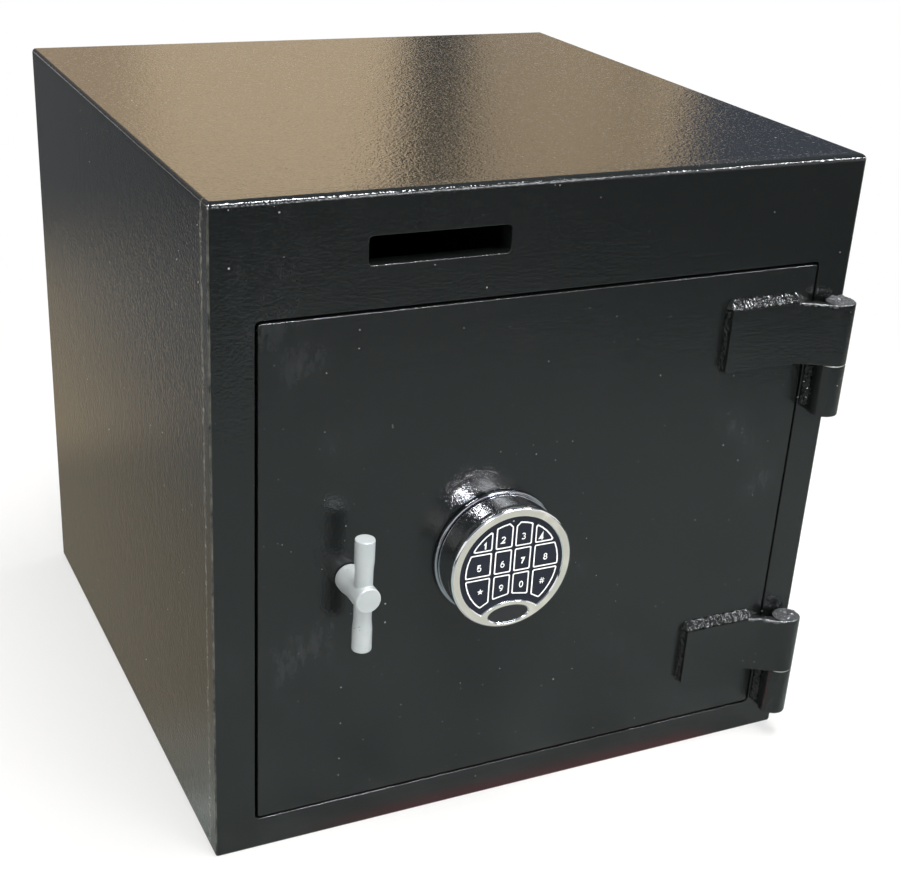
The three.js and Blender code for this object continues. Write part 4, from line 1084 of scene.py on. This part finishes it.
def add_floor_tone():
    """What the upright faces mirror of the floor: near the safe each side has its own tone.

    Farther away there are two tones, one before the safe and one behind it.
    """
    rim = arc(0, 0, TONE_RADIUS, 0, 360, 64)[:-1]
    tree, surface = add_card("floor_tone", [(x, y, 0) for x, y in rim], [tuple(range(len(rim)))])
    place = tree.position()
    x, y, _ = tree.axes(place)
    rest = tree.mix(tree.step(y, *SIDE_TONE_END), SIDE_TONE, BACK_TONE)
    rest = tree.mix(tree.step(x, *LEFT_TONE_END), LEFT_TONE, rest)
    mottle = tree.between(tree.noise(place, 14.0, 5.0, 0.75), -0.1, 2.1)
    near = tree.mix(tree.step(y, *FRONT_TONE_END), tree.scaled(mottle, FRONT_TONE), rest)
    near = tree.mix(red_strip(tree, x, y), near, RED_TONE)
    far = tree.mix(tree.step(y, *FAR_FRONT_TONE_END), FAR_FRONT_TONE, FAR_BACK_TONE)
    colour = tree.mix(tree.step(tree.length(place), *NEAR_TONES_END), near, far)
    tree.put(surface, tree.glow(colour))


def add_floor():
    """A pale floor that fades to white away from the safe."""
    rim = arc(0, 0, FLOOR_RADIUS, 0, 360, 96)[:-1]
    floor = placed("floor", prism(rim, -FLOOR_THICKNESS - FLOOR_DROP, -FLOOR_DROP))
    material, tree, surface = bare_material("floor")
    matt = tree.node("ShaderNodeBsdfDiffuse", {"Color": FLOOR_COLOUR}).outputs[0]
    seen = tree.node("ShaderNodeLightPath").outputs["Is Camera Ray"]
    away = tree.step(tree.length(tree.position()), *FLOOR_FADE)
    fade = tree.times(tree.between(away, FLOOR_WHITE_NEAR, 1.0), seen)
    both = tree.node("ShaderNodeMixShader", {0: fade, 1: matt, 2: tree.glow(grey(1.0))})
    tree.put(surface, both.outputs[0])
    floor.data.materials.append(material)


def add_surround():
    """A plain white world, dimmer as the light that matt surfaces get from it."""
    world = bpy.data.worlds.new("surround")
    bpy.context.scene.world = world
    world.use_nodes = True
    tree = Nodes(world.node_tree)
    path = tree.node("ShaderNodeLightPath").outputs
    seen = tree.larger(path["Is Glossy Ray"], path["Is Transmission Ray"])
    seen = tree.larger(path["Is Camera Ray"], seen)
    background = world.node_tree.nodes["Background"].inputs
    tree.put(background["Color"], grey(1.0))
    tree.put(background["Strength"], tree.between(seen, SURROUND_ON_MATT, 1.0))


def add_stage():
    """The floor, the surround, the lamps, and the room that only reflections show."""
    add_floor()
    add_surround()
    add_lamp("key", *KEY_LAMP, on_gloss=False)
    add_lamp("fill", *FILL_LAMP)
    for name, (place, side, power) in GLINT_LAMPS.items():
        add_lamp(name, place, GLINT_TARGET, (side, side), power, GLINT_COLOUR, on_matt=False)
    add_ceiling()
    for name, (azimuths, colour) in WALLS.items():
        add_wall(name, azimuths, colour)
    add_floor_tone()


# The safe

def dress_front_plate():
    """The front plate again: its upper front edge rounded most, and the slot's walls dull."""
    round_edge, outer_share, inner_share, sharp = 3.4 * MM, 0.3, 0.22, 0.7
    low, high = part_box("front_plate")
    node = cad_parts["front_plate"]
    made = bmesh.new()
    made.from_mesh(node.data)
    made.transform(node.matrix_world)
    bmesh.ops.remove_doubles(made, verts=made.verts, dist=WELD_DISTANCE)
    bmesh.ops.dissolve_limit(made, angle_limit=FLAT_BEND, verts=made.verts, edges=made.edges)
    weights = made.edges.layers.float.new("bevel_weight_edge")
    for edge in made.edges:
        spots = [vertex.co for vertex in edge.verts]
        in_front = all(spot.y < low.y + SAME_PLANE for spot in spots)
        if in_front and edge.calc_face_angle(0) > sharp:
            at_top = all(spot.z > high.z - SAME_PLANE for spot in spots)
            middle = (spots[0] + spots[1]) / 2
            to_rim = min(middle.x - low.x, high.x - middle.x, middle.z - low.z)
            share = outer_share if to_rim < SAME_PLANE else inner_share
            edge[weights] = 1.0 if at_top else share
    slot_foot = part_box("door_plate")[1].z + 10 * MM
    for face in made.faces:
        spot = face.calc_center_median()
        in_plate = low.x + MM < spot.x < high.x - MM and slot_foot < spot.z < high.z - MM
        face.material_index = int(in_plate and abs(face.normal.y) < 0.5)
    mesh = mesh_from(made, "front_panel")
    paint = black_paint("panel_paint", dust=0.06, specks=0.03, texture=1.1, seam=(low, high))
    panel = mesh_piece("front_panel", mesh, paint, "box")
    mesh.materials.append(soft_plastic("slot_edge", (0.05, 0.053, 0.06), 0.42, 0.15 * MM))
    refine(panel, round_edge, 5, weighted_edges=True)
    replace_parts(panel, "front_plate")


def plate_paints():
    """The paint of each plate and hinge that isn't painted like the inside."""
    outside = black_paint("box_paint", dust=0.06, specks=0.03, texture=1.4, seam=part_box("front_plate"))
    front = black_paint("front_paint", dust=0.1, specks=0.04, texture=0.7)
    paints = {
        "top_plate": black_paint("top_paint", dust=0.06, specks=0.02, texture=0.85),
        "door_plate": black_paint("door_paint", dust=0.16, specks=0.06, texture=1.2, fineness=1.45),
        "deposit_chute": black_paint("chute_paint", dust=0.5, specks=0.03, texture=1.5),
    }
    for name in ("left_side", "right_side", "back_plate", "bottom_plate"):
        paints[name] = outside
    for place in ("upper", "lower"):
        paints[place + "_hinge_leaf"] = front
        paints[place + "_hinge_knuckle"] = front
    return paints


def slot_finishes():
    """The finish of each material slot of the part."""
    return {
        "black_paint": black_paint("inner_paint", dust=0.1),
        "silver_paint": silver_paint(),
        "nickel": metal("nickel", (0.74, 0.73, 0.69), 0.2),
        "dark_chrome": metal("dark_chrome", (0.42, 0.43, 0.46), 0.08),
        "bare_steel": metal("bare_steel", (0.52, 0.52, 0.51), 0.32, 0.02 * MM, (1, 1, 0.05)),
        "zinc_plate": metal("zinc_plate", (0.66, 0.67, 0.64), 0.3, 0.015 * MM, (1, 1, 1), 0.3),
        "brass": metal("brass", (0.62, 0.45, 0.2), 0.28, 0.015 * MM, (1, 1, 0.1)),
        "rubber": soft_plastic("pad_rubber", (0.0065, 0.0085, 0.018), 0.5, 0.012 * MM, 0.3),
        "cable_jacket": soft_plastic("cable_jacket", (0.07, 0.073, 0.08), 0.5, 0.01 * MM),
        "battery_wrap": soft_plastic("battery_wrap", (0.028, 0.03, 0.034), 0.35, 0.005 * MM),
    }


def dress_nodes(finishes):
    """Paints the part's own solids and rounds their edges."""
    paints = plate_paints()
    for name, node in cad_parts.items():
        slot = node.material_slots[0].material.name.split(".")[0]
        node.material_slots[0].material = paints.get(name, finishes[slot])
        small = name.startswith("key_")
        refine(node, SMALL_EDGE if small else EDGES.get(name, USUAL_EDGE))


def main():
    add_camera()
    add_stage()
    finishes = slot_finishes()
    dress_nodes(finishes)
    dress_front_plate()
    weld = black_paint("weld_paint", texture=0.3, shine=0.3)
    # Weld caps and bend ridges: a lighter grey than the black paint, painted sheen for the light that their
    # lumps catch
    cap_sheen = soft_plastic("cap_paint", (0.05, 0.053, 0.056), 0.16, 0.03 * MM, 0.8)
    for count, place in enumerate(("upper", "lower")):
        dress_hinge(place, 20 * count + 1, weld, cap_sheen)
    chrome = metal("pad_chrome", (0.86, 0.87, 0.88), 0.09, wear=0.05)
    satin = metal("pad_satin", (0.93, 0.86, 0.76), 0.4, 0.012 * MM, wear=0.05)
    recess = soft_plastic("pad_recess", (0.012, 0.012, 0.014), 0.3, 0.01 * MM)
    dress_pad(chrome, satin, recess)
    dress_keys(soft_plastic("key_print", (0.94, 0.95, 0.97), 0.5, 0.005 * MM))
    dress_status_lamp(soft_plastic("status_lens", (0.32, 0.33, 0.34), 0.15, 0.004 * MM))
    dress_handle(finishes["silver_paint"])


bpy.context.scene.view_settings.view_transform = "Standard"
main()
